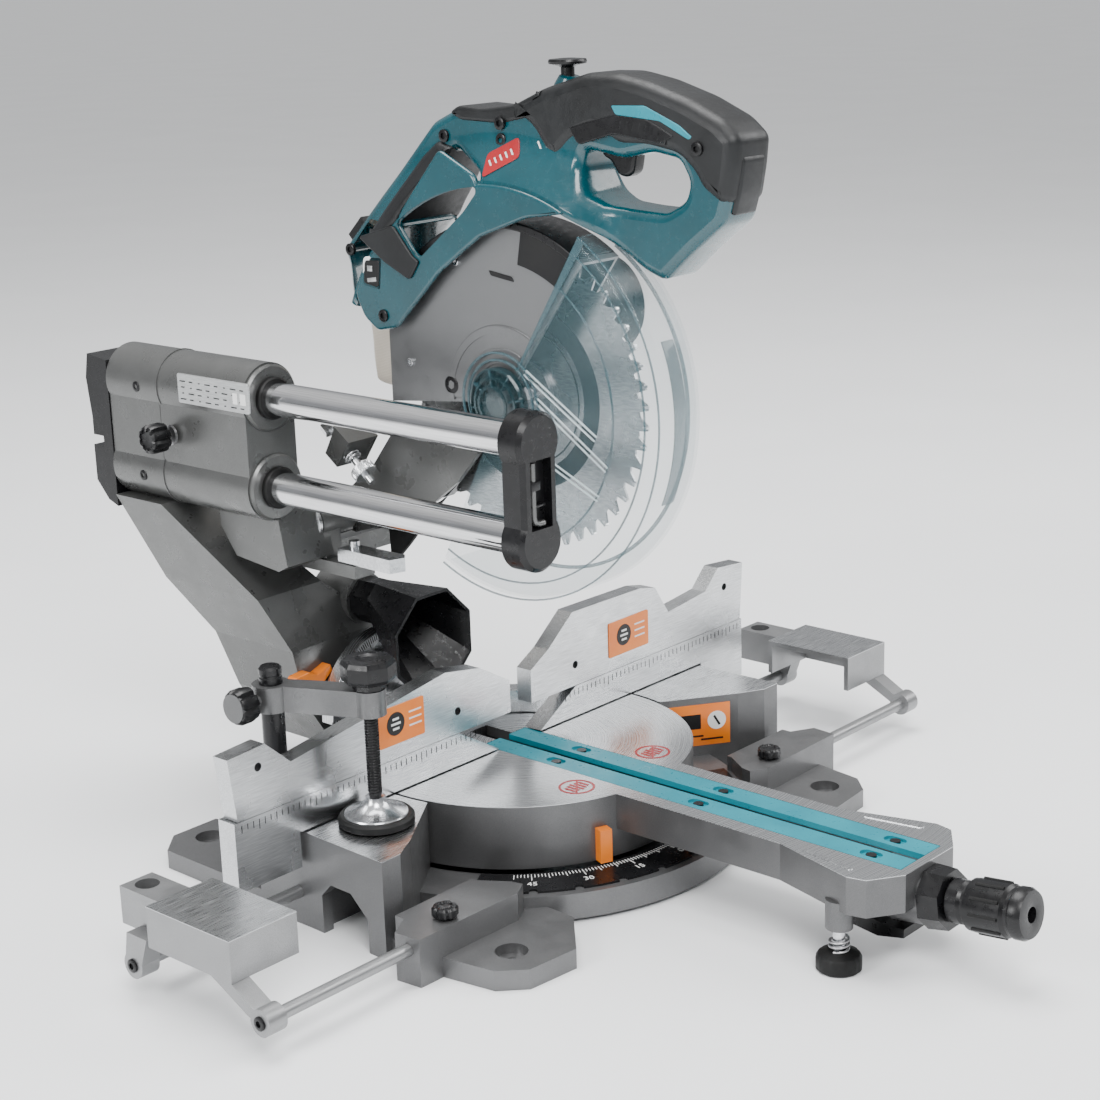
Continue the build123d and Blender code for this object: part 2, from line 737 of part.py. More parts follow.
MOTOR = (ARBOR_Y + MOTOR_DY, ARBOR_Z + MOTOR_DZ)
NOZZLE = (62, 385)  # dust outlet of the blade case
CASE_OUTLINE_R = 50
with BuildPart() as gear_case:
    with BuildSketch(side(9)):
        with Locations((ARBOR_Y, ARBOR_Z)):
            Circle(CASE_OUTLINE_R)
    extrude(amount=31)
    with BuildSketch(side(14.5)):
        with Locations(MOTOR):
            Circle(26)
        outline([swing(44, 60), swing(60, 75), (MOTOR[0] + 24, MOTOR[1] + 10), swing(48, 165)])
    extrude(amount=25.5)
    with BuildSketch(side(21)):
        outline([
            swing(46, 150), (60, 330), (110, 275), (122, 262), (112, 232), (86, 240), (30, 292),
            swing(46, 230),
        ])
    extrude(amount=8)
    with BuildSketch(side(GEAR_X - 2)):
        with Locations((ARBOR_Y, ARBOR_Z)):
            Circle(42.5)
        with Locations(MOTOR):
            Circle(16)
    extrude(amount=GEAR_W + 12, mode=Mode.SUBTRACT)
    with BuildSketch(side(9)):
        with Locations((ARBOR_Y, ARBOR_Z)):
            Circle(16)
    extrude(amount=20, mode=Mode.SUBTRACT)
keep("gear_case", gear_case)

with BuildPart() as gear_case_cover:
    with BuildSketch(side(40)):
        with Locations((ARBOR_Y, ARBOR_Z)):
            Circle(CASE_OUTLINE_R)
        with Locations(MOTOR):
            Circle(MOTOR_R)
    extrude(amount=7.5)
    with BuildSketch(side(38)):
        with Locations((ARBOR_Y, ARBOR_Z)):
            Circle(10.3)
        with Locations(MOTOR):
            Circle(7)
    extrude(amount=8, mode=Mode.SUBTRACT)
    with BuildSketch(side(40)):
        with Locations(MOTOR):
            Circle(6)
    extrude(amount=8, mode=Mode.SUBTRACT)
keep("gear_case_cover", gear_case_cover)

with BuildPart() as blade_case:
    with BuildSketch(side(CASE_X)):
        ring_sector(20, CASE_R, CASE_FRONT, CASE_REAR)
    extrude(amount=CASE_T)
    with BuildSketch(side(CASE_X)):
        ring_sector(CASE_R - CASE_T, CASE_R, CASE_FRONT, CASE_REAR)
    extrude(amount=CASE_W)
    with BuildSketch(side(CASE_X - 1.5)):
        ring_sector(48, 53, CASE_FRONT + 2, CASE_REAR - 2)
    extrude(amount=1.6)
    with BuildSketch(side(CASE_X + CASE_W - CASE_T)):
        ring_sector(53, CASE_R, CASE_FRONT, CASE_REAR)
    extrude(amount=CASE_T)
    with BuildSketch(side(CASE_X)):
        outline([(CASE_Y, 300), (CASE_Y + 40, 300), (CASE_Y + 40, 420), (CASE_Y, 420)])
    extrude(amount=CASE_W, mode=Mode.SUBTRACT)
    with BuildSketch(side(CASE_X)):
        outline([(CASE_Y - CASE_T, 322), (CASE_Y, 322), (CASE_Y, 388), (CASE_Y - CASE_T, 389)])
    extrude(amount=CASE_W)
    with BuildSketch(side(8)):
        with Locations(NOZZLE):
            Circle(17.5)
    extrude(amount=8, mode=Mode.SUBTRACT)
keep("blade_case", blade_case)


# ---------------------------------------------------------------- head: plastic housing
BODY = [
    (144, 427), (117, 453), (45, 522), (21, 531), (-33, 533), (-56, 546), (-97, 556), (-122, 555),
    (-147, 550), (-179, 540), (-205, 528), (-217, 519), (-214, 492), (-206, 466), (-158, 426),
    (-140, 432), (-81, 465),
    (-52, 462), (-21, 454), (16, 436), (60, 400), (82, 382), (90, 374),
]
D_WINDOW = [
    (-92, 508), (-91, 495), (-97, 479), (-112, 473), (-160, 470), (-176, 478), (-179, 497), (-172, 504),
    (-137, 509),
]
REAR_WINDOW = [(24, 505), (3, 482), (1, 471), (15, 455), (60, 421), (66, 424), (82, 446), (74, 456)]
GRIP_COVER = [
    (-38, 534), (-56, 546.5), (-97, 556.5), (-122, 555.5), (-147, 550.5), (-179, 540.5), (-205, 528.5),
    (-218, 519),
    (-214, 491), (-179, 480), (-179, 497), (-172, 504), (-137, 509), (-120, 512), (-104, 524), (-66, 520),
]
REAR_COVER = [(24, 505), (3, 482), (60, 421), (72, 408), (96, 420), (108, 438), (52, 496), (38, 508)]

TRIGGER_POCKET = [(-92, 526), (-92, 500), (-134, 500), (-136, 520)]

with BuildPart() as head_body:
    with BuildSketch(side(-18)):
        outline(BODY)
    extrude(amount=36)
    with BuildSketch(side(18)):
        outline([
            (144, 427), (112, 458), (45, 522), (-20, 530), (-40, 500), (-60, 470), (-52, 462),
            (-21, 454), (16, 436), (60, 400), (90, 374),
        ])
    extrude(amount=12)
    with BuildSketch(side(-35)):
        outline([
            (128, 432), (92, 462), (-10, 472), (-60, 486), (-88, 474), (-81, 465), (-52, 462),
            (-21, 454), (16, 436), (60, 400), (90, 374),
        ])
    extrude(amount=17)
    with BuildSketch(side(23)):
        outline([(-60, 486), (-70, 440), (-40, 400), (30, 400), (90, 374), (128, 420), (80, 470)])
    extrude(amount=7)
    with BuildSketch(side(23)):
        with Locations(MOTOR):
            Circle(MOTOR_R + 1)
    extrude(amount=8, mode=Mode.SUBTRACT)
    with BuildSketch(side(22.5)):
        with Locations((ARBOR_Y, ARBOR_Z)):
            Circle(CASE_OUTLINE_R + 1)
    extrude(amount=8, mode=Mode.SUBTRACT)
    with BuildSketch(side(-31)):
        with Locations((ARBOR_Y, ARBOR_Z)):
            Circle(SWEEP_R1)
    extrude(amount=53, mode=Mode.SUBTRACT)
    with BuildSketch(side(-50)):
        outline(D_WINDOW)
        outline(REAR_WINDOW)
    extrude(amount=100, mode=Mode.SUBTRACT)
    with BuildSketch(side(-50)):
        outline(GRIP_COVER)
        outline(REAR_COVER)
    extrude(amount=100, mode=Mode.SUBTRACT)
    with BuildSketch(side(-7.5)):
        outline(TRIGGER_POCKET)
    extrude(amount=15, mode=Mode.SUBTRACT)
    with BuildSketch(side(10)):
        with Locations(NOZZLE):
            Circle(17.5)
    extrude(amount=30, mode=Mode.SUBTRACT)
keep("head_body", head_body)

with BuildPart() as grip_covers:
    with BuildSketch(side(-19)):
        outline(GRIP_COVER)
        outline(REAR_COVER)
    extrude(amount=38)
    with BuildSketch(side(-31)):
        with Locations((ARBOR_Y, ARBOR_Z)):
            Circle(SWEEP_R1)
    extrude(amount=53, mode=Mode.SUBTRACT)
    with BuildSketch(side(-7.5)):
        outline(TRIGGER_POCKET)
    extrude(amount=15, mode=Mode.SUBTRACT)
    with BuildSketch(flat(524)):
        with Locations((0, -66)):
            Circle(5 + RUN)
    extrude(amount=40, mode=Mode.SUBTRACT)
    with BuildSketch(side(-50)):
        outline(REAR_WINDOW)
    extrude(amount=100, mode=Mode.SUBTRACT)
keep("grip_covers", grip_covers)

with BuildPart() as trigger:
    with BuildSketch(side(-6)):
        outline([(-98, 512), (-98, 503), (-108, 500), (-117, 489), (-125, 494), (-128, 508), (-127, 513)])
    extrude(amount=12)
keep("trigger", trigger)

with BuildPart() as lock_off_button:
    with BuildSketch(flat(530)):
        with Locations((0, -66)):
            Circle(5)
    extrude(amount=33)
    with BuildSketch(flat(561)):
        with Locations((0, -66)):
            SlotOverall(26, 11)
    extrude(amount=4)
keep("lock_off_button", lock_off_button)

with BuildPart() as housing_screws:
    for x, y, z in ((-18, -10, 522), (-18, 34, 515), (-18, 122, 444), (-35, 96, 400), (-19, -190, 514)):
        with BuildSketch(side(x - 1.5)):
            with Locations((y, z)):
                Circle(4)
        extrude(amount=1.5)
keep("housing_screws", housing_screws)

with BuildPart() as battery_terminal:
    with BuildSketch(side(-12)):
        outline([(138, 433), (124, 446.5), (128.5, 451.2), (142.5, 437.7)])
    extrude(amount=24)
keep("battery_terminal", battery_terminal)

# ---------------------------------------------------------------- drive
with BuildPart() as saw_blade:
    teeth = 48
    rim = []
    for tooth in range(teeth):
        start = 360 / teeth * tooth
        for radius, turn in ((BLADE_R - 8, 0), (BLADE_R, 1.0), (BLADE_R - 0.8, 3.2), (BLADE_R - 7, 5.4)):
            rim.append(swing(radius, start + turn))
    with BuildSketch(side(-BLADE_T / 2)):
        outline(rim)
        with Locations((ARBOR_Y, ARBOR_Z)):
            Circle(12, mode=Mode.SUBTRACT)
    extrude(amount=BLADE_T)
keep("saw_blade", saw_blade)

with BuildPart() as arbor_shaft:
    with BuildSketch(side(-6)):
        with Locations((ARBOR_Y, ARBOR_Z)):
            Circle(10)
    extrude(amount=50)
    with BuildSketch(side(-BLADE_T / 2)):
        with Locations((ARBOR_Y, ARBOR_Z)):
            Circle(12)
    extrude(amount=BLADE_T)
    with BuildSketch(side(-14)):
        with Locations((ARBOR_Y, ARBOR_Z)):
            RegularPolygon(9, 6)
    extrude(amount=8)
keep("arbor_shaft", arbor_shaft)

with BuildPart() as blade_flanges:
    for x0 in (-BLADE_T / 2 - 4, BLADE_T / 2):
        with BuildSketch(side(x0)):
            with Locations((ARBOR_Y, ARBOR_Z)):
                Circle(25)
                Circle(10, mode=Mode.SUBTRACT)
        extrude(amount=4)
keep("blade_flanges", blade_flanges)

with BuildPart() as arbor_gear:
    mesh_plane = Plane(origin=(GEAR_X, ARBOR_Y, ARBOR_Z), x_dir=(0, MOTOR_DY, MOTOR_DZ), z_dir=(1, 0, 0))
    with BuildSketch(mesh_plane):
        outline(involute_gear(GEAR_TEETH, GEAR_MODULE, 0.5))
        Circle(10, mode=Mode.SUBTRACT)
    extrude(amount=GEAR_W)
keep("arbor_gear", arbor_gear)

with BuildPart() as arbor_bearing:
    with BuildSketch(side(10)):
        with Locations((ARBOR_Y, ARBOR_Z)):
            Circle(16)
            Circle(10 + RUN, mode=Mode.SUBTRACT)
    extrude(amount=11)
keep("arbor_bearing", arbor_bearing)

with BuildPart() as motor_rotor:
    with BuildSketch(side(GEAR_X - 1)):
        with Locations(MOTOR):
            Circle(4)
    extrude(amount=MOTOR_X1 - GEAR_X - 2)
    with BuildSketch(side(66)):
        with Locations(MOTOR):
            Circle(20)
    extrude(amount=26)
    with BuildSketch(side(52)):
        with Locations(MOTOR):
            Circle(30)
    extrude(amount=8)
    with BuildSketch(Plane(origin=(GEAR_X, *MOTOR), x_dir=(0, -MOTOR_DY, -MOTOR_DZ), z_dir=(1, 0, 0))):
        with Locations(Rotation(0, 0, 180 / PINION_TEETH)):
            outline(involute_gear(PINION_TEETH, GEAR_MODULE, 0.5))
    extrude(amount=GEAR_W)
keep("motor_rotor", motor_rotor)

with BuildPart() as motor_stator:
    with BuildSketch(side(64)):
        with Locations(MOTOR):
            Circle(MOTOR_R - 3)
            Circle(21, mode=Mode.SUBTRACT)
    extrude(amount=30)
keep("motor_stator", motor_stator)

with BuildPart() as motor_housing:
    with BuildSketch(side(47.5)):
        with Locations(MOTOR):
            Circle(MOTOR_R)
            Circle(MOTOR_R - 3, mode=Mode.SUBTRACT)
    extrude(amount=MOTOR_X1 - 5 - 47.5)
    with BuildSketch(side(MOTOR_X1 - 5)):
        with Locations(MOTOR):
            Circle(MOTOR_R)
    extrude(amount=9)
    with BuildSketch(side(MOTOR_X1 - 6)):
        with Locations(MOTOR):
            Circle(4 + RUN)
    extrude(amount=5, mode=Mode.SUBTRACT)
    with BuildSketch(side(MOTOR_X1 - 6)):
        with Locations(MOTOR):
            with PolarLocations(24, 16):
                SlotOverall(12, 3)
    extrude(amount=20, mode=Mode.SUBTRACT)
keep("motor_housing", motor_housing)

# ---------------------------------------------------------------- lower guard
GUARD_SECTION = Plane(
    origin=(0, ARBOR_Y, ARBOR_Z),
    x_dir=(1, 0, 0),
    z_dir=(0, -sin(radians(GUARD_FRONT)), -cos(radians(GUARD_FRONT))),
)
GUARD_MID = (GUARD_X0 + GUARD_X1) / 2
GUARD_W = GUARD_X1 - GUARD_X0

with BuildPart() as lower_guard:
    with BuildSketch(GUARD_SECTION):
        with Locations((GUARD_MID, GUARD_R / 2)):
            Rectangle(GUARD_W, GUARD_R)
        fillet(vertices().group_by(Axis.Y)[-1], 8)
        with Locations((GUARD_MID, GUARD_R / 2 - GUARD_T)):
            RectangleRounded(GUARD_W - 2 * GUARD_T, GUARD_R, 6, mode=Mode.SUBTRACT)
        with Locations((GUARD_MID, 0)):
            Rectangle(GUARD_W - 2 * GUARD_T, GUARD_R, mode=Mode.SUBTRACT)
        with Locations((GUARD_X1, GUARD_R / 2 - 14)):
            Rectangle(2 * GUARD_T + 2, GUARD_R, mode=Mode.SUBTRACT)
        with Locations((GUARD_X0, 0)):
            Rectangle(4 * GUARD_T, 52, mode=Mode.SUBTRACT)
    revolve(axis=Axis((0, ARBOR_Y, ARBOR_Z), (1, 0, 0)), revolution_arc=GUARD_FRONT - GUARD_REAR)
    with BuildSketch(side(GUARD_X0)):
        with Locations((ARBOR_Y, ARBOR_Z)):
            Circle(34)
            Circle(26, mode=Mode.SUBTRACT)
    extrude(amount=GUARD_T)
keep("lower_guard", lower_guard)

with BuildPart() as centre_cover:
    with BuildSketch(side(GUARD_X0 - 13)):
        with Locations((ARBOR_Y, ARBOR_Z)):
            Circle(25.5)
    extrude(amount=17)
    with BuildSketch(side(GUARD_X0 - 10)):
        with Locations((ARBOR_Y, ARBOR_Z)):
            Circle(22.5)
    extrude(amount=14, mode=Mode.SUBTRACT)
    with BuildSketch(side(GUARD_X0 - 13)):
        with Locations((ARBOR_Y, ARBOR_Z)):
            Circle(14)
            Circle(10, mode=Mode.SUBTRACT)
    extrude(amount=-3)
keep("centre_cover", centre_cover)

# ---------------------------------------------------------------- dust parts
with BuildPart() as dust_nozzle:
    with BuildSketch(side(11.5)):
        with Locations(NOZZLE):
            Circle(17)
            Circle(14.5, mode=Mode.SUBTRACT)
    extrude(amount=30)
    with BuildSketch(side(41.5)):
        with Locations((66, 385)):
            Rectangle(40, 40)
    extrude(amount=34)
    with BuildSketch(side(41)):
        with Locations((66, 385)):
            Rectangle(35, 34)
    extrude(amount=31, mode=Mode.SUBTRACT)
    with BuildSketch(front(80)):
        with Locations((58.5, 385)):
            Circle(13)
    extrude(amount=-20)
    with BuildSketch(front(80)):
        with Locations((58.5, 385)):
            Circle(10.5)
    extrude(amount=-21, mode=Mode.SUBTRACT)
keep("dust_nozzle", dust_nozzle)

with BuildPart() as dust_bag:
    with BuildSketch(front(101)):
        with Locations((66, 363)):
            RectangleRounded(60, 122, 18)
    extrude(amount=-87)
keep("dust_bag", dust_bag)

with BuildPart() as dust_flap:
    with BuildSketch(side(-15)):
        outline([(113, 219), (96, 228), (56, 249), (52, 252), (72, 232), (92, 210), (112, 190)])
    extrude(amount=3)
keep("dust_flap", dust_flap)

# ---------------------------------------------------------------- side holders
HOLDER_FRONT_Y = -88


for holder_name, s in (("left_holder", -1), ("right_holder", 1)):
    with BuildPart() as holder:
        with BuildSketch(flat(42)):
            with Locations((s * (HOLDER_X0 + HOLDER_X1) / 2, (HOLDER_FRONT_Y - 8) / 2)):
                Rectangle(HOLDER_X1 - HOLDER_X0, -8 - HOLDER_FRONT_Y)
        extrude(amount=TABLE_Z - 42)
        with BuildSketch(flat(42)):
            with Locations((s * 329, 12)):
                Rectangle(26, 44)
        extrude(amount=26)
        for y_high, y_low in ((-70, ROD_YS[0]), (4, ROD_YS[1])):
            with BuildSketch(side(s * 340)):
                outline([(y_high - 10, 46), (y_low - 8, ROD_Z), (y_low + 8, ROD_Z), (y_high + 10, 46)])
                with Locations((y_low, ROD_Z)):
                    Circle(9)
            extrude(amount=s * 14)
        with BuildSketch(side(s * (HOLDER_X0 - 1))):
            outline([(-84, 41), (-12, 41), (-12, 66), (-84, 66)])
        extrude(amount=s * 50, mode=Mode.SUBTRACT)
        with BuildSketch(flat(50)):
            with Locations((s * 329, 22)):
                Circle(8)
        extrude(amount=30, mode=Mode.SUBTRACT)
        with BuildSketch(side(s * 150)):
            with Locations(*[(y, ROD_Z) for y in ROD_YS]):
                Circle(ROD_R)
        extrude(amount=s * 200)
    keep(holder_name, holder)

for knob_name, x in (("left_holder_knob", -196), ("right_holder_knob", 158)):
    with BuildPart() as holder_knob:
        with BuildSketch(flat(ROD_Z + ROD_R + 0.3)):
            with Locations((x, ROD_YS[0])):
                Circle(3)
        extrude(amount=6)
        with BuildSketch(flat(34)):
            with Locations((x, ROD_YS[0])):
                Circle(9)
        extrude(amount=8)
    keep(knob_name, holder_knob)

# ---------------------------------------------------------------- vise
VISE_Z = 148
with BuildPart() as vise_post:
    with BuildSketch(flat(28.3)):
        with Locations(VISE_POST):
            Circle(VISE_POST_R)
    extrude(amount=150)
keep("vise_post", vise_post)

with BuildPart() as vise_arm:
    with BuildSketch(flat(VISE_Z)):
        outline([(-214, 40), (-182, -30), (-164, -24), (-196, 38)])
        with Locations(VISE_POST):
            Circle(13)
        with Locations(VISE_SCREW):
            Circle(11)
    extrude(amount=18)
    with BuildSketch(side(VISE_POST[0] - 34)):
        with Locations((VISE_POST[1], VISE_Z + 9)):
            Circle(10)
    extrude(amount=14)
    with BuildSketch(side(VISE_POST[0] - 20)):
        with Locations((VISE_POST[1], VISE_Z + 9)):
            Circle(4)
    extrude(amount=9)
    with BuildSketch(flat(VISE_Z - 1)):
        with Locations(VISE_POST):
            Circle(VISE_POST_R + RUN)
        with Locations(VISE_SCREW):
            Circle(5 + RUN)
    extrude(amount=30, mode=Mode.SUBTRACT)
keep("vise_arm", vise_arm)

with BuildPart() as vise_screw:
    with BuildSketch(flat(84)):
        with Locations(VISE_SCREW):
            Circle(5)
    extrude(amount=92)
    with BuildSketch(flat(172)):
        with Locations(VISE_SCREW):
            RegularPolygon(20, 8)
    extrude(amount=14)
keep("vise_screw", vise_screw)

with BuildPart() as vise_pad:
    with BuildSketch(flat(TABLE_Z + 0.3)):
        with Locations(VISE_SCREW):
            Circle(26)
    extrude(amount=7)
    with BuildSketch(flat(TABLE_Z + 7.3)):
        with Locations(VISE_SCREW):
            Circle(20)
    extrude(amount=12, taper=40)
    with BuildSketch(flat(84)):
        with Locations(VISE_SCREW):
            Circle(5)
    extrude(amount=10, mode=Mode.SUBTRACT)
keep("vise_pad", vise_pad)

# ---------------------------------------------------------------- writing
for name, piece in ALL.items():
    export_step(piece, f"parts/{name}.step")
print(len(ALL), "pieces written")
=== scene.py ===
"""Visual model of the sliding mitre saw: materials for the CAD pieces, moulded parts, guard, soft bag and small trim.

Lengths in the tables below are millimetres in the row frame and are turned into metres where meshes are made.
"""

from math import atan2, cos, degrees, hypot, pi, radians, sin

import bmesh
import bpy
from mathutils import Matrix, Vector


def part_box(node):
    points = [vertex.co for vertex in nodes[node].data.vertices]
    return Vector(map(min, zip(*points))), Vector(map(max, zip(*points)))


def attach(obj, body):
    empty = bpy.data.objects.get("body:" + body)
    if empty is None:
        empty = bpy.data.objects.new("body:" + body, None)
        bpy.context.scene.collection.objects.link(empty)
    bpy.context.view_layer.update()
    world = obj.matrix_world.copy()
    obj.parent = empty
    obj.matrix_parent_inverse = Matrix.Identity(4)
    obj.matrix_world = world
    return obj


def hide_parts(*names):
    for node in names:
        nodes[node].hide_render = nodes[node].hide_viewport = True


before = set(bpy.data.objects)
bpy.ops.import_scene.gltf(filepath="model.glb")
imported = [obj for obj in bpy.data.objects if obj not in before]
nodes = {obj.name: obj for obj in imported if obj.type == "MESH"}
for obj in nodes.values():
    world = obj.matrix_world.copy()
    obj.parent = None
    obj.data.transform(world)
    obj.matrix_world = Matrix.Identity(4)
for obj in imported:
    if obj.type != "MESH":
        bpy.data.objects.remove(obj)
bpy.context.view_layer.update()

MM = 0.001
ARBOR = (-21, 333)  # Y and Z of the blade's axis
SWEEP_R = 146.5  # radius that the moving guard needs
TABLE_Z = 70


def box_mm(node):
    """Lowest and highest corner of a CAD node in millimetres."""
    low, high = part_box(node)
    return Vector(low) / MM, Vector(high) / MM


# ---------------------------------------------------------------- camera, floor and light
CAMERA_AT = (-1.0795, -1.0163, 0.6328)
AZIMUTH, ELEVATION, ROLL = radians(-47.76), radians(15.70), radians(-1.89)


def make_camera():
    """The scene camera, in front of the saw on its left and a little above it."""
    ahead = Vector((-sin(AZIMUTH) * cos(ELEVATION), cos(AZIMUTH) * cos(ELEVATION), -sin(ELEVATION)))
    level = Vector((cos(AZIMUTH), sin(AZIMUTH), 0))
    above = level.cross(ahead)
    right = cos(ROLL) * level + sin(ROLL) * above
    up = -sin(ROLL) * level + cos(ROLL) * above
    data = bpy.data.cameras.new("camera")
    data.lens, data.sensor_width = 69.64, 36
    camera = bpy.data.objects.new("camera", data)
    bpy.context.scene.collection.objects.link(camera)
    camera.matrix_world = Matrix.Translation(CAMERA_AT) @ Matrix((right, up, -ahead)).transposed().to_4x4()
    bpy.context.scene.camera = camera


def make_light(name, place, size, power, colour=(1, 1, 1)):
    """A square soft box aimed at the middle of the saw."""
    data = bpy.data.lights.new(name, "AREA")
    data.size, data.energy, data.color = size, power, colour
    light = bpy.data.objects.new(name, data)
    bpy.context.scene.collection.objects.link(light)
    light.location = place
    light.rotation_euler = (Vector(place) - Vector((0, 0, 0.25))).to_track_quat("Z", "Y").to_euler()


make_camera()
make_light("key", (-1.3, -1.7, 2.3), 1.2, 70)
make_light("left_strip", (-2.2, 0.3, 1.2), 0.9, 34)
make_light("right_fill", (1.7, -1.2, 1.6), 1.4, 34)
make_light("top", (0.1, 0.3, 2.7), 1.6, 75)


def make_world():
    """A pale room that is bright overhead and darker near the floor, so that metal has something to mirror."""
    world = bpy.data.worlds.new("studio")
    world.use_nodes = True
    tree = world.node_tree
    place = tree.nodes.new("ShaderNodeTexCoord")
    axes = tree.nodes.new("ShaderNodeSeparateXYZ")
    ramp = tree.nodes.new("ShaderNodeValToRGB")
    tree.links.new(place.outputs["Generated"], axes.inputs["Vector"])
    tree.links.new(axes.outputs["Z"], ramp.inputs["Fac"])
    tree.links.new(ramp.outputs["Color"], tree.nodes["Background"].inputs["Color"])
    ramp.color_ramp.elements[0].color = (0.30, 0.31, 0.32, 1)
    ramp.color_ramp.elements[1].position = 0.75
    ramp.color_ramp.elements[1].color = (1.0, 1.0, 1.0, 1)
    middle = ramp.color_ramp.elements.new(0.28)
    middle.color = (0.42, 0.43, 0.45, 1)
    tree.nodes["Background"].inputs["Strength"].default_value = 0.9
    bpy.context.scene.world = world


make_world()


# ---------------------------------------------------------------- materials
class Look:
    """A procedural material under construction: its node tree and the fields that its layers read."""

    def __init__(self, name, metallic=0.0, coat=0.0, **sockets):
        self.material = bpy.data.materials.new(name)
        self.material.use_nodes = True
        self.tree = self.material.node_tree
        self.bsdf = self.tree.nodes["Principled BSDF"]
        self.bsdf.inputs["Metallic"].default_value = metallic
        self.bsdf.inputs["Coat Weight"].default_value = coat
        for socket, value in sockets.items():
            self.bsdf.inputs[socket.replace("_", " ")].default_value = value
        self.place = self.node("ShaderNodeTexCoord").outputs["Object"]

    def node(self, kind, **settings):
        node = self.tree.nodes.new(kind)
        for key, value in settings.items():
            setattr(node, key, value)
        return node

    def link(self, out, into):
        self.tree.links.new(out, into)

    def noise(self, scale, detail=3, stretch=None, place=None):
        """Noise of a given scale per metre; stretch shortens or lengthens it along each axis."""
        place = place or self.place
        if stretch:
            mapping = self.node("ShaderNodeMapping")
            mapping.inputs["Scale"].default_value = stretch
            self.link(place, mapping.inputs["Vector"])
            place = mapping.outputs["Vector"]
        noise = self.node("ShaderNodeTexNoise")
        noise.inputs["Scale"].default_value = scale
        noise.inputs["Detail"].default_value = detail
        self.link(place, noise.inputs["Vector"])
        return noise.outputs["Fac"]

    def spread(self, field, low, high, start=0.35, end=0.65):
        """A field stretched to lie between two values."""
        node = self.node("ShaderNodeMapRange")
        for socket, value in (("From Min", start), ("From Max", end), ("To Min", low), ("To Max", high)):
            node.inputs[socket].default_value = value
        self.link(field, node.inputs["Value"])
        return node.outputs["Result"]

    def maths(self, operation, first, second):
        node = self.node("ShaderNodeMath", operation=operation)
        for value, socket in ((first, node.inputs[0]), (second, node.inputs[1])):
            if isinstance(value, (int, float)):
                socket.default_value = value
            else:
                self.link(value, socket)
        return node.outputs["Value"]

    def blend(self, fac, first, second):
        """Colour between two colours or colour fields."""
        mix = self.node("ShaderNodeMix", data_type="RGBA")
        self.link(fac, mix.inputs["Factor"])
        for value, socket in ((first, mix.inputs["A"]), (second, mix.inputs["B"])):
            if isinstance(value, tuple):
                socket.default_value = (*value, 1)
            else:
                self.link(value, socket)
        return mix.outputs["Result"]

    def finish(self, colour=None, rough=None, height=None, depth=0.1, distance=0.0004, metallic=None):
        """Joins the fields to the shader."""
        if colour is not None:
            self.link(colour, self.bsdf.inputs["Base Color"])
        if rough is not None:
            self.link(rough, self.bsdf.inputs["Roughness"])
        if metallic is not None:
            self.link(metallic, self.bsdf.inputs["Metallic"])
        if height is not None:
            bump = self.node("ShaderNodeBump")
            bump.inputs["Strength"].default_value = depth
            bump.inputs["Distance"].default_value = distance
            self.link(height, bump.inputs["Height"])
            self.link(bump.outputs["Normal"], self.bsdf.inputs["Normal"])
        return self.material


def moulded(name, colour, lighter, rough, grain=1500, depth=0.12, coat=0.0, patch=35, **sockets):
    """Plastic or rubber with a fine eroded grain and slow colour variation."""
    look = Look(name, coat=coat, **sockets)
    colours = look.blend(look.spread(look.noise(patch), 0, 1), colour, lighter)
    roughness = look.spread(look.noise(patch * 6, 5), rough - 0.05, rough + 0.07)
    return look.finish(colours, roughness, look.noise(grain, 2), depth, 0.0003)


def painted_cast(name, colour, lighter, rough, metallic=0.55, machined_above=None, rings=False):
    """Cast metal with sparkling paint; above a height it is milled bright, in rings or in straight passes."""
    look = Look(name, metallic=metallic)
    fleck = look.spread(look.noise(5200, 1), 0, 1, 0.42, 0.62)
    colours = look.blend(fleck, colour, lighter)
    roughness = look.spread(look.noise(60, 4), rough - 0.05, rough + 0.09)
    height = look.noise(900, 4)
    if machined_above is None:
        return look.finish(colours, roughness, height, 0.16, 0.0004)
    axes = look.node("ShaderNodeSeparateXYZ")
    look.link(look.place, axes.inputs["Vector"])
    top = look.maths("GREATER_THAN", axes.outputs["Z"], machined_above * MM)
    if rings:
        radius = look.node("ShaderNodeVectorMath", operation="LENGTH")
        flat = look.node("ShaderNodeCombineXYZ")
        look.link(axes.outputs["X"], flat.inputs["X"])
        look.link(axes.outputs["Y"], flat.inputs["Y"])
        look.link(flat.outputs["Vector"], radius.inputs["Vector"])
        line = look.node("ShaderNodeCombineXYZ")
        look.link(radius.outputs["Value"], line.inputs["X"])
        passes = look.noise(900, 4, place=line.outputs["Vector"])
    else:
        passes = look.noise(300, 4, stretch=(0.2, 6, 6))
    bright = look.blend(look.spread(passes, 0, 1), (0.46, 0.47, 0.48), (0.70, 0.71, 0.72))
    colours = look.blend(top, colours, bright)
    shine = look.spread(passes, 0.20, 0.34)
    keep = look.node("ShaderNodeMix", data_type="FLOAT")
    look.link(top, keep.inputs["Factor"])
    look.link(roughness, keep.inputs["A"])
    look.link(shine, keep.inputs["B"])
    metal = look.spread(top, metallic, 1.0, 0.0, 1.0)
    return look.finish(colours, keep.outputs["Result"], height, 0.10, 0.0003, metal)


def brushed(name, colour, lighter, rough, stretch, scale=260, depth=0.05):
    """Bare metal with brush or tool marks across one direction."""
    look = Look(name, metallic=1.0)
    marks = look.noise(scale, 5, stretch)
    colours = look.blend(look.spread(marks, 0, 1), colour, lighter)
    cloud = look.spread(look.noise(22, 4), rough - 0.05, rough + 0.08)
    return look.finish(colours, cloud, marks, depth, 0.0002)


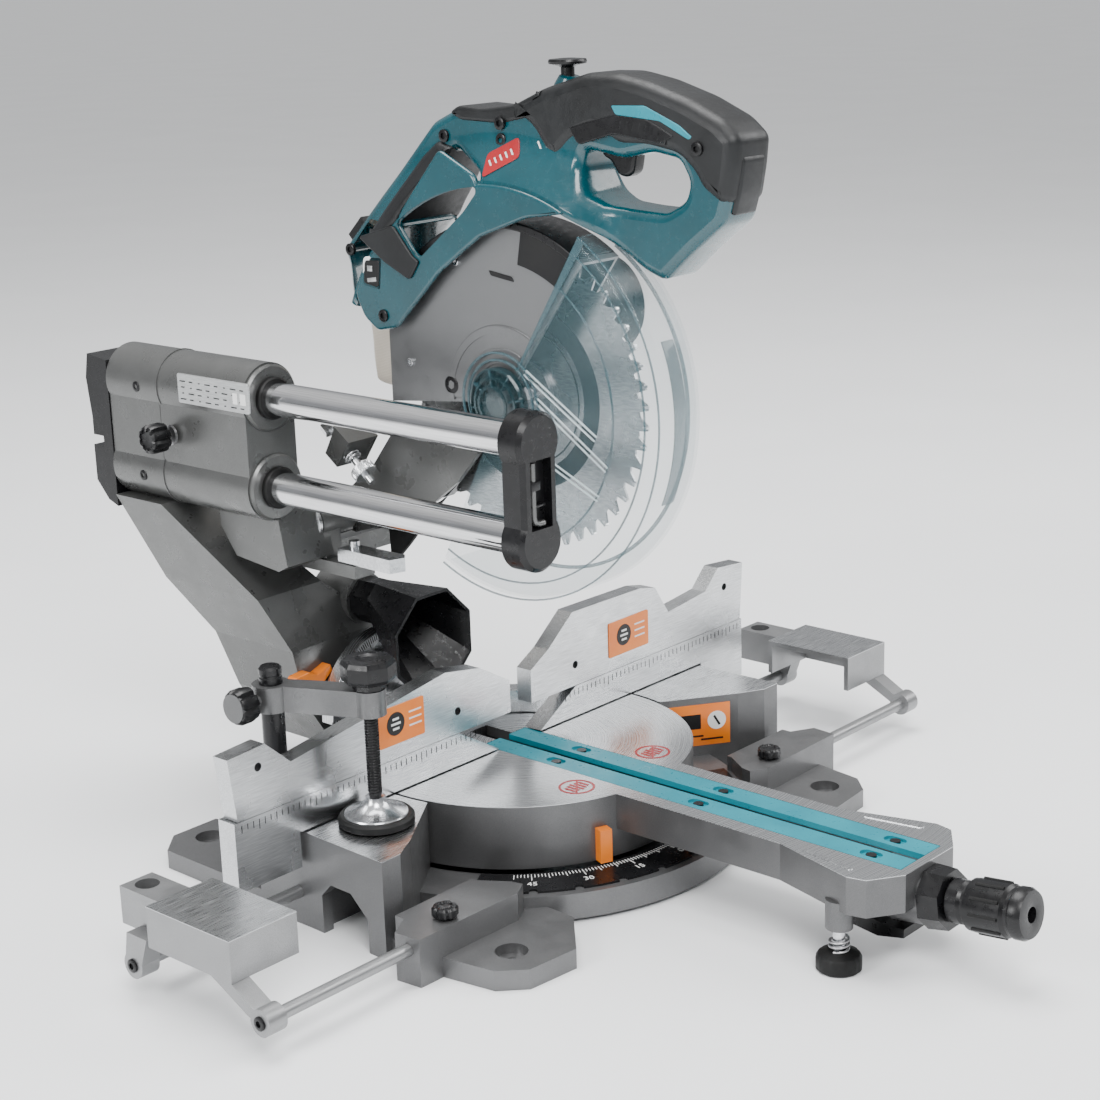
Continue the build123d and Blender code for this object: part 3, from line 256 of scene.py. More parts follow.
def clear(name, colour, alpha, rough=0.06):
    """Tinted clear plastic: thin, glossy, with faint moulding streaks and scuffs."""
    look = Look(name, Alpha=alpha, IOR=1.49, Specular_IOR_Level=0.75)
    colours = look.blend(look.spread(look.noise(12, 2), 0, 1), colour, tuple(c * 0.86 for c in colour))
    scuffs = look.spread(look.noise(70, 6, (1, 1, 8)), rough, rough + 0.12, 0.45, 0.75)
    return look.finish(colours, scuffs, look.noise(40, 2), 0.06, 0.0006)


def woven(name, colour, lighter):
    """Plain-weave filter cloth with a soft sheen."""
    look = Look(name, Sheen_Weight=0.35, Sheen_Roughness=0.6)
    threads = []
    for axis in ("Y", "Z"):
        wave = look.node("ShaderNodeTexWave", wave_type="BANDS", bands_direction=axis, wave_profile="SIN")
        wave.inputs["Scale"].default_value = 260
        wave.inputs["Distortion"].default_value = 0.6
        look.link(look.place, wave.inputs["Vector"])
        threads.append(wave.outputs["Fac"])
    weave = look.maths("MULTIPLY", threads[0], threads[1])
    tone = look.maths("ADD", weave, look.noise(30, 4))
    colours = look.blend(look.spread(tone, 0, 1, 0.4, 1.3), colour, lighter)
    return look.finish(colours, look.spread(look.noise(90), 0.80, 0.95), weave, 0.35, 0.0005)


M = {
    "base": painted_cast("base_paint", (0.125, 0.126, 0.128), (0.200, 0.201, 0.204), 0.36, 0.7, 69.6),
    "table": painted_cast("table_paint", (0.100, 0.100, 0.102), (0.160, 0.161, 0.163), 0.34, 0.7, 69.6, True),
    "gunmetal": painted_cast("gunmetal_paint", (0.105, 0.107, 0.105), (0.170, 0.172, 0.169), 0.30, 0.65),
    "case": painted_cast("case_silver", (0.165, 0.168, 0.172), (0.260, 0.264, 0.268), 0.34, 0.8),
    "holder": painted_cast("holder_silver", (0.230, 0.232, 0.236), (0.330, 0.332, 0.336), 0.34, 0.75, 69.6),
    "fence": brushed("fence_face", (0.50, 0.51, 0.52), (0.68, 0.69, 0.70), 0.25, (0.25, 5, 5)),
    "chrome": brushed("pipe_chrome", (0.66, 0.66, 0.67), (0.80, 0.80, 0.81), 0.10, (6, 0.15, 6), 200, 0.02),
    "steel": brushed("steel", (0.42, 0.42, 0.43), (0.60, 0.60, 0.61), 0.30, (1, 1, 1), 700, 0.10),
    "zinc": brushed("zinc_plate", (0.55, 0.56, 0.58), (0.72, 0.73, 0.74), 0.22, (1, 1, 1), 500, 0.08),
    "blade": brushed("blade_steel", (0.30, 0.31, 0.32), (0.46, 0.47, 0.48), 0.26, (1, 1, 6), 160),
    "brass": brushed("brass", (0.55, 0.38, 0.13), (0.70, 0.50, 0.20), 0.30, (1, 1, 1), 500),
    "black": moulded("black_plastic", (0.003, 0.003, 0.0035), (0.006, 0.006, 0.007), 0.30, Specular_IOR_Level=0.36),
    "grip": moulded("soft_grip", (0.005, 0.0055, 0.006), (0.009, 0.010, 0.011), 0.40, 2600, 0.3, Specular_IOR_Level=0.4),
    "rubber": moulded("rubber", (0.003, 0.003, 0.003), (0.007, 0.007, 0.007), 0.52, 900, 0.25, Specular_IOR_Level=0.3),
    "teal": moulded("teal_plastic", (0.000, 0.048, 0.062), (0.000, 0.056, 0.073), 0.22, 2200, 0.05, 0.5),
    "boards": moulded("turquoise_plastic", (0.004, 0.190, 0.245), (0.008, 0.225, 0.285), 0.32, 1300, 0.10),
    "orange": moulded("orange_plastic", (0.74, 0.165, 0.006), (0.80, 0.205, 0.012), 0.38, 1200, 0.05, 0.2),
    "red": moulded("red_print", (0.27, 0.003, 0.007), (0.33, 0.006, 0.010), 0.40, 900, 0.03, 0.2),
    "white": moulded("white_print", (0.72, 0.72, 0.71), (0.80, 0.80, 0.79), 0.45, 900, 0.03),
    "ink": moulded("black_print", (0.004, 0.004, 0.005), (0.008, 0.008, 0.008), 0.42, 900, 0.02, Specular_IOR_Level=0.35),
    "label": brushed("label_foil", (0.50, 0.51, 0.51), (0.62, 0.63, 0.63), 0.40, (1, 0.3, 4), 300, 0.02),
    "guard": clear("guard_clear", (0.20, 0.36, 0.41), 0.10),
    # Darker, more opaque clear: painted shade along the guard's edges and bends, and the dark tint of the centre
    # cover's spokes.
    "guard_edge_shade_and_dark_tint": clear("guard_edge_shade_and_dark_tint", (0.050, 0.120, 0.145), 0.55, 0.10),
    # Pale, nearly opaque clear for the guard's ribs: a painted highlight, not the ribs' own colour.
    "rib": clear("guard_rib_highlight", (0.70, 0.80, 0.83), 0.75, 0.10),
    "hub": clear("hub_clear", (0.020, 0.055, 0.065), 0.62, 0.08),
    "smoke": clear("smoke_clear", (0.020, 0.030, 0.034), 0.86, 0.12),
    "bag": woven("bag_cloth", (0.50, 0.44, 0.36), (0.66, 0.60, 0.51)),
    "seam": woven("bag_binding", (0.30, 0.28, 0.24), (0.38, 0.36, 0.31)),
}

CAD_LOOKS = {
    "base": ("base_casting",),
    "table": ("turntable",),
    "gunmetal": ("arm_casting", "carriage", "head_arm"),
    "case": ("blade_case", "gear_case", "gear_case_cover"),
    "holder": ("left_holder", "right_holder"),
    "fence": ("lower_fence", "left_upper_fence", "right_upper_fence"),
    "chrome": ("slide_pipes", "hinge_pin"),
    "zinc": ("fence_bolts", "depth_bolt", "foot_screw", "stopper_arm"),
    "steel": ("pivot_bolt", "bevel_shaft", "arbor_shaft", "blade_flanges", "arbor_gear", "arbor_bearing",
              "motor_rotor", "motor_stator"),
    "blade": ("saw_blade",),
    "brass": ("slide_bushings",),
    "boards": ("kerf_boards",),
    "orange": ("mitre_pointer",),
    "black": ("kerf_screws", "housing_screws", "mitre_scale_plate", "mitre_grip", "mitre_lever", "arm_rear_cover",
              "bevel_lock_lever", "slide_lock_knob", "dust_funnel", "dust_nozzle", "trigger", "lock_off_button",
              "motor_housing", "vise_post", "pipe_end_cap", "grip_collar", "left_holder_knob",
              "right_holder_knob", "vise_screw", "battery_terminal"),
    "grip": ("grip_covers",),
    "rubber": ("foot_pad", "dust_flap", "vise_pad"),
    "gunmetal_vise": ("vise_arm",),
    "teal": ("head_body",),
    "guard": ("lower_guard",),
    "smoke": ("centre_cover",),
    "bag": ("dust_bag",),
}
M["gunmetal_vise"] = painted_cast("vise_paint", (0.100, 0.101, 0.102), (0.165, 0.166, 0.168), 0.32, 0.7)
ROUND_OFF = {"base_casting": 2.0, "turntable": 1.2, "arm_casting": 3.0, "carriage": 2.2, "left_holder": 1.6,
             "right_holder": 1.6, "head_arm": 1.5, "pipe_end_cap": 2.0, "arm_rear_cover": 2.5, "vise_arm": 1.6,
             "gear_case": 1.5, "gear_case_cover": 1.2, "motor_housing": 1.2, "grip_collar": 1.5, "mitre_lever": 1.5,
             "bevel_lock_lever": 1.6, "dust_nozzle": 1.5}
SLIM = 0.5  # edge radius of a CAD piece that isn't listed


def dress_cad():
    """Gives every CAD node its material and, apart from the blade, guard, pipes, gear and rotor, a small edge radius.
    """
    for look, names in CAD_LOOKS.items():
        for name in names:
            obj = nodes[name]
            obj.data.materials.clear()
            obj.data.materials.append(M[look])
            if name in ("saw_blade", "lower_guard", "slide_pipes", "arbor_gear", "motor_rotor"):
                continue
            bevel = obj.modifiers.new("edge", "BEVEL")
            bevel.width = ROUND_OFF.get(name, SLIM) * MM
            bevel.segments = 2
            bevel.limit_method = "ANGLE"
            bevel.angle_limit = radians(38)
            bevel.harden_normals = True


dress_cad()


# ---------------------------------------------------------------- mesh helpers
def place_piece(mesh, name, body, look, stands_for=(), finish=None, crease=34):
    """Turns a mesh in row-frame metres into a shaded piece that rides on a CAD body."""
    mesh.name = name
    mesh.materials.clear()
    mesh.materials.append(M[look])
    mesh.polygons.foreach_set("use_smooth", [True] * len(mesh.polygons))
    mesh.set_sharp_from_angle(angle=radians(crease))
    obj = bpy.data.objects.new(name, mesh)
    bpy.context.scene.collection.objects.link(obj)
    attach(obj, body)
    if stands_for:
        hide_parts(*stands_for)
    return obj


SIDE = Matrix(((0, 0, 1, 0), (1, 0, 0, 0), (0, 1, 0, 0), (0, 0, 0, 1)))  # local X, Y, Z are world Y, Z, X
FRONT = Matrix(((1, 0, 0, 0), (0, 0, 1, 0), (0, 1, 0, 0), (0, 0, 0, 1)))  # local X, Y, Z are world X, Z, Y
PLAN = Matrix.Identity(4)


def from_curve(curve, matrix):
    """The mesh of a curve, moved into the row frame."""
    holder = bpy.data.objects.new("shape", curve)
    bpy.context.scene.collection.objects.link(holder)
    mesh = bpy.data.meshes.new_from_object(holder.evaluated_get(bpy.context.evaluated_depsgraph_get()))
    bpy.data.objects.remove(holder)
    bpy.data.curves.remove(curve)
    mesh.transform(matrix)
    if matrix.determinant() < 0:
        mesh.flip_normals()
    return mesh


def soften(points, radius, steps=5):
    """The outline with its corners rounded by a radius, or less where its sides are short."""
    rounded = []
    count = len(points)
    for i, corner in enumerate(points):
        corner = Vector(corner)
        before, after = Vector(points[i - 1]) - corner, Vector(points[(i + 1) % count]) - corner
        reach = min(radius, before.length * 0.45, after.length * 0.45)
        start, end = corner + before.normalized() * reach, corner + after.normalized() * reach
        for step in range(steps + 1):
            t = step / steps
            rounded.append(tuple((1 - t) ** 2 * start + 2 * t * (1 - t) * corner + t**2 * end))
    return rounded


FAR, NEAR, BULGE = 185, 142, (-17, 12)  # radii between which the housing widens, and how far on either side


def widening(y, z):
    """How much of its full widening the housing has at a place of the side view."""
    near = min(1, max(0, (FAR - hypot(y - ARBOR[0], z - ARBOR[1])) / (FAR - NEAR)))
    behind = min(1, max(0, (y + 128) / 45))
    return near * near * (3 - 2 * near) * behind * behind * (3 - 2 * behind)


def widen(mesh):
    """Draws the faces of a housing plate outwards near the blade case."""
    work = bmesh.new()
    work.from_mesh(mesh)
    for normal, places in ((Vector((0, 1, 0)), range(-130, 150, 6)), (Vector((0, 0, 1)), range(370, 540, 6))):
        for place in places:
            everything = work.verts[:] + work.edges[:] + work.faces[:]
            bmesh.ops.bisect_plane(work, geom=everything, plane_co=normal * place * MM, plane_no=normal)
    for vertex in work.verts:
        x, y, z = vertex.co / MM
        reach = BULGE[0] if x < 0 else BULGE[1]
        vertex.co.x += reach * min(1, abs(x) / 17) * widening(y, z) * MM
    work.to_mesh(mesh)
    work.free()


def seen(points):
    """Places of the left face, measured as if it were flat, moved to where the widened face shows them."""
    return [(y - 15.4 * widening(y, z), z + 6.5 * widening(y, z)) for y, z in points]


def plate(name, outlines, span, bevel, body, look, view=SIDE, corner=3.0, wide=False, **options):
    """A moulded plate with rounded edges. outlines is the outside, then any holes; span its two faces."""
    curve = bpy.data.curves.new(name, "CURVE")
    curve.dimensions, curve.fill_mode = "2D", "BOTH"
    curve.extrude = ((span[1] - span[0]) / 2 - bevel) * MM
    curve.bevel_depth, curve.offset, curve.bevel_resolution = bevel * MM, -bevel * MM, 3
    for outline in outlines:
        points = soften(outline, corner) if corner else outline
        spline = curve.splines.new("POLY")
        spline.points.add(len(points) - 1)
        for point, (x, y) in zip(spline.points, points):
            point.co = (x * MM, y * MM, 0, 1)
        spline.use_cyclic_u = True
    middle = Matrix.Translation((0, 0, (span[0] + span[1]) / 2 * MM))
    mesh = from_curve(curve, view @ middle)
    if wide:
        widen(mesh)
    return place_piece(mesh, name, body, look, **options)


def arc(radius, start, end, centre=ARBOR, steps=24):
    """Points of the side view round a centre; 0 is towards the operator and 90 is up."""
    turns = [radians(start + (end - start) * i / steps) for i in range(steps + 1)]
    return [(centre[0] - radius * cos(t), centre[1] + radius * sin(t)) for t in turns]


def sector(inner, outer, start, end, steps=24):
    """Outline of a part of a ring round the arbor."""
    return arc(outer, start, end, steps=steps) + arc(inner, end, start, steps=steps)


def lathe(name, profile, base, direction, body, look, steps=64, scallops=None, **options):
    """A turned piece. profile is (radius, height) pairs along direction; scallops is (count, depth)."""
    turn = Vector(direction).normalized().to_track_quat("Z", "Y").to_matrix().to_4x4()
    mesh = bpy.data.meshes.new(name)
    vertices, faces = [], []
    for radius, height in profile:
        for step in range(steps):
            angle = 2 * pi * step / steps
            r = radius
            if scallops and radius > profile[0][0] + 0.01:
                r -= scallops[1] * max(0.0, cos(scallops[0] * angle)) ** 2
            vertices.append((r * MM * cos(angle), r * MM * sin(angle), height * MM))
    for ring in range(len(profile) - 1):
        for step in range(steps):
            a, b = ring * steps + step, ring * steps + (step + 1) % steps
            faces.append((a, b, b + steps, a + steps))
    faces.append(tuple(reversed(range(steps))))
    faces.append(tuple(range((len(profile) - 1) * steps, len(profile) * steps)))
    mesh.from_pydata(vertices, [], faces)
    mesh.transform(Matrix.Translation(Vector(base) * MM) @ turn)
    work = bmesh.new()
    work.from_mesh(mesh)
    bmesh.ops.recalc_face_normals(work, faces=work.faces)
    work.to_mesh(mesh)
    work.free()
    return place_piece(mesh, name, body, look, **options)


def wire(name, points, radius, body, look, closed=False, **options):
    """A round bar or thread along points."""
    curve = bpy.data.curves.new(name, "CURVE")
    curve.dimensions, curve.bevel_depth, curve.bevel_resolution = "3D", radius * MM, 2
    curve.use_fill_caps = True
    spline = curve.splines.new("POLY")
    spline.points.add(len(points) - 1)
    for point, place in zip(spline.points, points):
        point.co = (*(Vector(place) * MM), 1)
    spline.use_cyclic_u = closed
    return place_piece(from_curve(curve, PLAN), name, body, look, crease=60, **options)


def coil(name, start, end, radius, thickness, turns, body, look, **options):
    """A helical spring or a thread between two points."""
    start, end = Vector(start), Vector(end)
    turn = (end - start).normalized().to_track_quat("Z", "Y").to_matrix()
    per_turn = 20
    points = []
    for i in range(int(turns * per_turn) + 1):
        angle = 2 * pi * i / per_turn
        along = (end - start).length * i / (turns * per_turn)
        points.append(start + turn @ Vector((radius * cos(angle), radius * sin(angle), along)))
    return wire(name, points, thickness, body, look, **options)


def bars(name, boxes, body, look, view=PLAN, bevel=0.0, **options):
    """Many small blocks in one piece. Each is (centre, size, angle in degrees about the view's depth axis)."""
    work = bmesh.new()
    for centre, size, angle in boxes:
        matrix = Matrix.Translation(Vector(centre) * MM) @ Matrix.Rotation(radians(angle), 4, "Z")
        bmesh.ops.create_cube(work, size=MM, matrix=view @ matrix @ Matrix.Diagonal((*size, 1)))
    if bevel:
        bmesh.ops.bevel(work, geom=work.edges[:], offset=bevel * MM, segments=2, profile=0.5, affect="EDGES")
    bmesh.ops.recalc_face_normals(work, faces=work.faces)
    mesh = bpy.data.meshes.new(name)
    work.to_mesh(mesh)
    work.free()
    return place_piece(mesh, name, body, look, **options)


def words(name, text, size, place, turn, body, look, view=PLAN, **options):
    """Generic scale figures, as flat raised print."""
    curve = bpy.data.curves.new(name, "FONT")
    curve.body, curve.size, curve.extrude = text, size * MM, 0.1 * MM
    curve.align_x, curve.align_y = "CENTER", "CENTER"
    matrix = view @ Matrix.Translation(Vector(place) * MM) @ Matrix.Rotation(radians(turn), 4, "Z")
    return place_piece(from_curve(curve, matrix), name, body, look, **options)


def screws(name, places, radius, axis, body, look="black", **options):
    """Cap screws with a hexagon socket, all facing the same way."""
    work = bmesh.new()
    turn = Vector(axis).normalized().to_track_quat("Z", "Y").to_matrix().to_4x4()
    levels = ((radius, -1.0), (radius, 1.2), (radius * 0.85, 1.6), (radius * 0.5, 1.6), (radius * 0.5, 0.3))
    for place in places:
        rings = []
        for r, h in levels:
            ring = []
            for step in range(24):
                angle = 2 * pi * step / 24
                hexed = r * (1 - 0.06 * (1 + cos(6 * angle))) if h == 0.3 or r < radius * 0.6 else r
                point = Vector((hexed * cos(angle), hexed * sin(angle), h)) * MM
                ring.append(work.verts.new(Matrix.Translation(Vector(place) * MM) @ turn @ point))
            rings.append(ring)
        for low, high in zip(rings, rings[1:]):
            for step in range(24):
                work.faces.new((low[step], low[(step + 1) % 24], high[(step + 1) % 24], high[step]))
        work.faces.new(list(reversed(rings[0])))
        work.faces.new(rings[-1])
    bmesh.ops.recalc_face_normals(work, faces=work.faces)
    mesh = bpy.data.meshes.new(name)
    work.to_mesh(mesh)
    work.free()
    return place_piece(mesh, name, body, look, **options)


# ---------------------------------------------------------------- head: moulded housing
BODY_TOP = [
    (144, 427), (117, 453), (82, 486), (45, 522), (21, 532), (-6, 530), (-33, 533), (-56, 545), (-97, 555),
    (-122, 555), (-147, 550), (-179, 540), (-205, 528), (-217, 519), (-215, 500), (-212, 482), (-207, 466),
    (-182, 447), (-158, 426), (-140, 433), (-110, 452),
]
D_WINDOW = [
    (-94, 508), (-91, 495), (-97, 480), (-112, 473), (-135, 471), (-160, 470), (-176, 478), (-180, 490),
    (-172, 504), (-150, 508), (-125, 503),
]
REAR_WINDOW = [(24, 505), (3, 484), (1, 471), (15, 456), (38, 438), (60, 421), (68, 424), (82, 446), (72, 459)]
GRIP_OUTSIDE = [
    (-28, 533), (-56, 546), (-97, 557), (-122, 557), (-147, 552), (-179, 542), (-206, 530), (-219, 519),
    (-217, 500), (-213, 480), (-206, 476), (-190, 486), (-184, 496), (-172, 506), (-150, 510), (-125, 510),
    (-104, 520), (-84, 512), (-72, 500), (-60, 504), (-50, 519),
]
REAR_BAND = [(24, 505), (74, 456), (82, 446), (94, 437), (110, 439), (54, 498), (38, 510)]
BAND_FOOT = [(82, 446), (66, 424), (60, 421), (70, 407), (96, 419), (110, 439)]


def make_housing():
    """The teal housing, its soft overmoulds and the controls on it."""
    window = seen(REAR_WINDOW)
    turned = sorted((degrees(atan2(z - ARBOR[1], ARBOR[0] - y)), hypot(y - ARBOR[0], z - ARBOR[1])) for y, z in window)
    above = [(turn, radius) for turn, radius in turned if radius > SWEEP_R + 1]
    notch = [arc(radius, turn, turn, steps=1)[0] for turn, radius in above]
    under = arc(SWEEP_R, 66, above[0][0]) + notch + arc(SWEEP_R, above[-1][0], 158)
    plate("housing_core", [BODY_TOP + under, D_WINDOW], (-19, 19), 6.5, "head", "teal", corner=5, wide=True,
          stands_for=("head_body",))
    skirt = arc(151, 63, 149) + [(113, 398), (105, 383), (92, 374), (72, 378), (27, 421), (-13, 448), (-56, 463)]
    plate("housing_skirt", [skirt, window], (-36, -31.5), 2.0, "head", "teal", corner=4)
    plate("grip_overmould", [GRIP_OUTSIDE], (-21, 21), 9, "head", "grip", corner=5, stands_for=("grip_covers",))
    plate("rear_overmould", [seen(REAR_BAND)], (-22.5, 22.5), 5, "head", "grip", corner=4, wide=True)
    plate("rear_overmould_foot", [seen(BAND_FOOT)], (-38, -35.5), 1.0, "head", "grip", corner=4)
    top = [(-60, 546), (-34, 535.5), (-6, 532.5), (18, 534), (27, 529), (16, 523.5), (-22, 522), (-48, 527)]
    plate("top_overmould", [top], (-20, 20), 3, "head", "grip", corner=4)
    plate("nose_strip", [[(-212, 512), (-219, 506), (-216, 486), (-211, 470), (-206, 472), (-205, 490)]],
          (-12, 12), 2.5, "head", "grip", corner=3)
    stripe = [(-120, 537), (-148, 537.5), (-176, 526), (-186, 519), (-183, 517), (-160, 528), (-124, 531)]
    for s in (-1, 1):
        near, far = sorted((s * 18.5, s * 21.4))
        plate(f"grip_stripe_{'left' if s < 0 else 'right'}", [stripe], (near, far), 0.8, "head", "boards", corner=2)
        panel = [(-84, 522), (-122, 531), (-150, 529), (-172, 519), (-160, 514), (-122, 519), (-92, 511)]
        plate(f"grip_panel_{'left' if s < 0 else 'right'}", [panel], (near - 0.3, far - 0.3), 0.8, "head", "black",
              corner=3)
    ribs = [((-128 - 5.2 * i, 524.5 + 0.4 * i - 0.22 * i * i, -21.0), (1.6, 6.5, 1.4), 14) for i in range(8)]
    bars("grip_ribs", ribs, "head", "grip", view=SIDE, bevel=0.4)
    plate("trigger_lever", [[(-97, 512), (-99, 503), (-106, 500), (-112, 491), (-119, 489.5), (-125, 493),
                             (-127, 503), (-128, 513)]], (-6, 6), 2.4, "trigger", "black", corner=3,
          stands_for=("trigger",))
    lathe("lock_button_base", [(11, 0), (10.4, 6), (8.2, 12), (6.5, 13)], (0, -66, 541), (0, -0.25, 1), "head", "teal",
          finish="teal_plastic")
    stem = [(4.6, -14), (4.6, 17), (6, 18), (12.6, 19.5), (13, 21), (12.4, 22.4), (5, 23)]
    lathe("lock_button", stem, (0, -66, 542), (0, 0, 1), "lock_off", "black", stands_for=("lock_off_button",))
    screws("housing_bolts", [(-20.4, -22, 523), (-19.4, 32, 513), (-24, 128, 429), (-36.2, 84, 386),
                             (-21.2, -190, 512), (-19.4, -22, 512)], 4.4, (-1, 0, 0), "head",
           stands_for=("housing_screws",))
    badge = [(-13, 503), (-38, 514.5), (-42, 501.5), (-15, 487.5)]
    plate("slanted_badge", [badge], (-19.9, -18.2), 0.4, "head", "red", corner=3, wide=True)
    for name, places, tall in (
        ("badge_bars", [(-27.5 + 4 * i, 500.6 - 1.9 * i) for i in (-2, -1, 0, 1, 2)], 5),
        ("housing_marks", [(-57 - 5 * i, 509 + 2.2 * i) for i in range(3)], 7),
    ):
        proud = -20.4 if name == "badge_bars" else -19.2
        marks = [((y, z, proud + BULGE[0] * widening(y, z)), (1.3, tall, 0.5), -24) for y, z in places]
        bars(name, marks, "head", "white", view=SIDE)
    panel = [(103, 427), (83, 428), (86, 403), (105, 406)]
    plate("indicator_frame", [panel], (-36.0, -33.4), 0.8, "head", "white", corner=4)
    inner = [(101, 424.5), (85.5, 425.5), (88, 405.5), (103, 408)]
    plate("indicator_panel", [inner], (-36.6, -34.5), 0.7, "head", "ink", corner=3)
    bars("indicator_keys", [((95.5, 419, -36.7), (5, 4, 0.6), 0), ((94, 411, -36.7), (9, 3, 0.6), -8)],
         "head", "label", view=SIDE, bevel=0.2)


make_housing()


# ---------------------------------------------------------------- blade case, blade and guard
def make_case():
    """Trim of the fixed blade case: black rim band, pressed steps, index mark and screws."""
    plate("case_rim_band", [sector(120.5, 126.4, 56, 132)], (-26.4, 13.8), 1.2, "head", "black", corner=1)
    plate("case_dark_edge", [sector(98, 122, 56, 80)], (-26.0, -24.7), 0.5, "head", "ink", corner=6)
    plate("case_step", [sector(30, 54, 60, 182)], (-26.0, -24.6), 0.5, "head", "case", corner=8)
    plate("case_step_inner", [sector(27, 38, 62, 180)], (-26.7, -25.6), 0.4, "head", "case", corner=4)
    plate("case_window", [[(-32, 421), (-34, 417.5), (-13, 420.5), (-11, 424)]], (-25.9, -24.8), 0.4, "head", "ink",
          corner=1)
    screws("case_bolts", [(-25.1, 29, 340)], 6.5, (-1, 0, 0), "head")
    screws("case_small_bolts", [(-25.4, 70, 352), (-25.4, 20, 428)], 3.0, (-1, 0, 0), "head", "zinc")
    teeth = []
    for i in range(48):
        turn = radians(i * 7.5 + 2.2)
        teeth.append(((ARBOR[0] - 106.2 * cos(turn), ARBOR[1] + 106.2 * sin(turn), 0), (4.2, 1.6, 2.5),
                      -(i * 7.5 + 2.2)))
    bars("carbide_tips", teeth, "blade", "zinc", view=SIDE)
    for outer, inner, name in ((66, 52, "blade_print"), (48, 46.8, "blade_ring")):
        rings = [arc(r, 0, 360, steps=72)[:-1] for r in (outer, inner)]
        plate(name, rings, (-1.1, 1.1), 0.1, "blade", "ink", corner=0)


GUARD_START, GUARD_END = 58, -117


def guard_mesh():
    """Revolved clear shell of the moving guard: left wall, rounded rim and a narrow right lip."""
    section = [(-28.8, 26), (-28.8, 130)]
    section += [(-28.8 + 9 * (1 - cos(radians(a))), 133 + 8.6 * sin(radians(a))) for a in range(0, 91, 15)]
    section += [(18.8 - 9 * (1 - cos(radians(a))), 133 + 8.6 * sin(radians(a))) for a in range(90, -1, -15)]
    section += [(18.8, 128.3)]
    thick = 1.6
    inside = [(x + (thick if x < -5 else -thick), r - (thick if r > 133 else 0)) for x, r in reversed(section)]
    loop = section + inside
    steps = 70
    vertices, faces = [], []
    for i in range(steps + 1):
        angle = GUARD_START + (GUARD_END - GUARD_START) * i / steps
        for x, r in loop:
            y, z = arc(r, angle, angle, steps=1)[0]
            vertices.append((x * MM, y * MM, z * MM))
    n = len(loop)
    for i in range(steps):
        for k in range(n):
            a, b = i * n + k, i * n + (k + 1) % n
            faces.append((a, b, b + n, a + n))
    faces.append(tuple(range(n)))
    faces.append(tuple(reversed(range(steps * n, (steps + 1) * n))))
    mesh = bpy.data.meshes.new("guard_shell")
    mesh.from_pydata(vertices, [], faces)
    work = bmesh.new()
    work.from_mesh(mesh)
    bmesh.ops.recalc_face_normals(work, faces=work.faces)
    work.to_mesh(mesh)
    work.free()
    return mesh


def make_guard():
    """The clear guard with bright lines painted on its ribs as highlights, darker lines painted along its edges and
    bends as shade, the rim slot and the ringed hub.
    """
    place_piece(guard_mesh(), "guard_shell", "guard", "guard", stands_for=("lower_guard",), crease=40)
    # Darker lines on the rim, the wall, the middle, the front edge and the lip: painted shade along the guard's edges
    # and bends.
    for radius, name in ((141.2, "guard_rim_line"), (129, "guard_wall_line"), (102, "guard_mid_line")):
        plate(name, [sector(radius - 1.2, radius, GUARD_START, GUARD_END, 60)], (-29.4, -28.2), 0.3, "guard",
              "guard_edge_shade_and_dark_tint", corner=0.5)
    plate("guard_front_edge", [sector(30, 141, 58, 55.5)], (-29.2, -27.4), 0.4, "guard", "guard_edge_shade_and_dark_tint", corner=0.5)
    plate("guard_lip", [sector(126.5, 129, GUARD_START, GUARD_END, 60)], (17, 18.9), 0.4, "guard", "guard_edge_shade_and_dark_tint",
          corner=0.5)
    # Two bright lines along each of the three ribs: painted highlights of the ribs.
    ribs = []
    for start, end in (((-45, 357), (-107, 318)), ((-54, 339), (-116, 298)), ((-52, 302), (-108, 277))):
        length, turn = hypot(end[0] - start[0], end[1] - start[1]), atan2(end[1] - start[1], end[0] - start[0])
        for shift in (-1.8, 1.8):
            centre = ((start[0] + end[0]) / 2 - shift * sin(turn), (start[1] + end[1]) / 2 + shift * cos(turn), -29.3)
            ribs.append((centre, (length, 0.9, 1.5), degrees(turn)))
    bars("guard_rib_highlights", ribs, "guard", "rib", view=SIDE, bevel=0.2)
    slot_outline = sector(141.2, 142.2, 22, -24, 20)
    plate("guard_rim_slot", [slot_outline], (-14, -2), 0.2, "guard", "guard_edge_shade_and_dark_tint", corner=1)
    rings = [(25.3, 0), (25.3, 5), (23.5, 5.8), (23.5, 3.2), (19.5, 3.2), (19.5, 7.4), (17.5, 7.4), (17.5, 4.6),
             (13.5, 4.6), (13.5, 10), (11.5, 10), (11.5, 6.5), (2, 6.5)]
    lathe("cover_rings", rings, (-28.5, *ARBOR), (-1, 0, 0), "head", "hub", stands_for=("centre_cover",), crease=30)
    spokes = []
    for i in range(8):
        turn = radians(45 * i + 12)
        spokes.append(((ARBOR[0] - 18 * cos(turn), ARBOR[1] + 18 * sin(turn), -33), (12, 1.2, 4.4), -(45 * i + 12)))
    bars("cover_spokes", spokes, "head", "guard_edge_shade_and_dark_tint", view=SIDE, bevel=0.2)
    for radius in (31, 36):
        plate(f"guard_hub_ring_{radius}", [arc(radius, 0, 360, steps=72)[:-1],
                                           arc(radius - 1.6, 0, 360, steps=72)[:-1]], (-30.4, -28.6), 0.4, "guard",
              "guard_edge_shade_and_dark_tint", corner=0)


make_case()
make_guard()


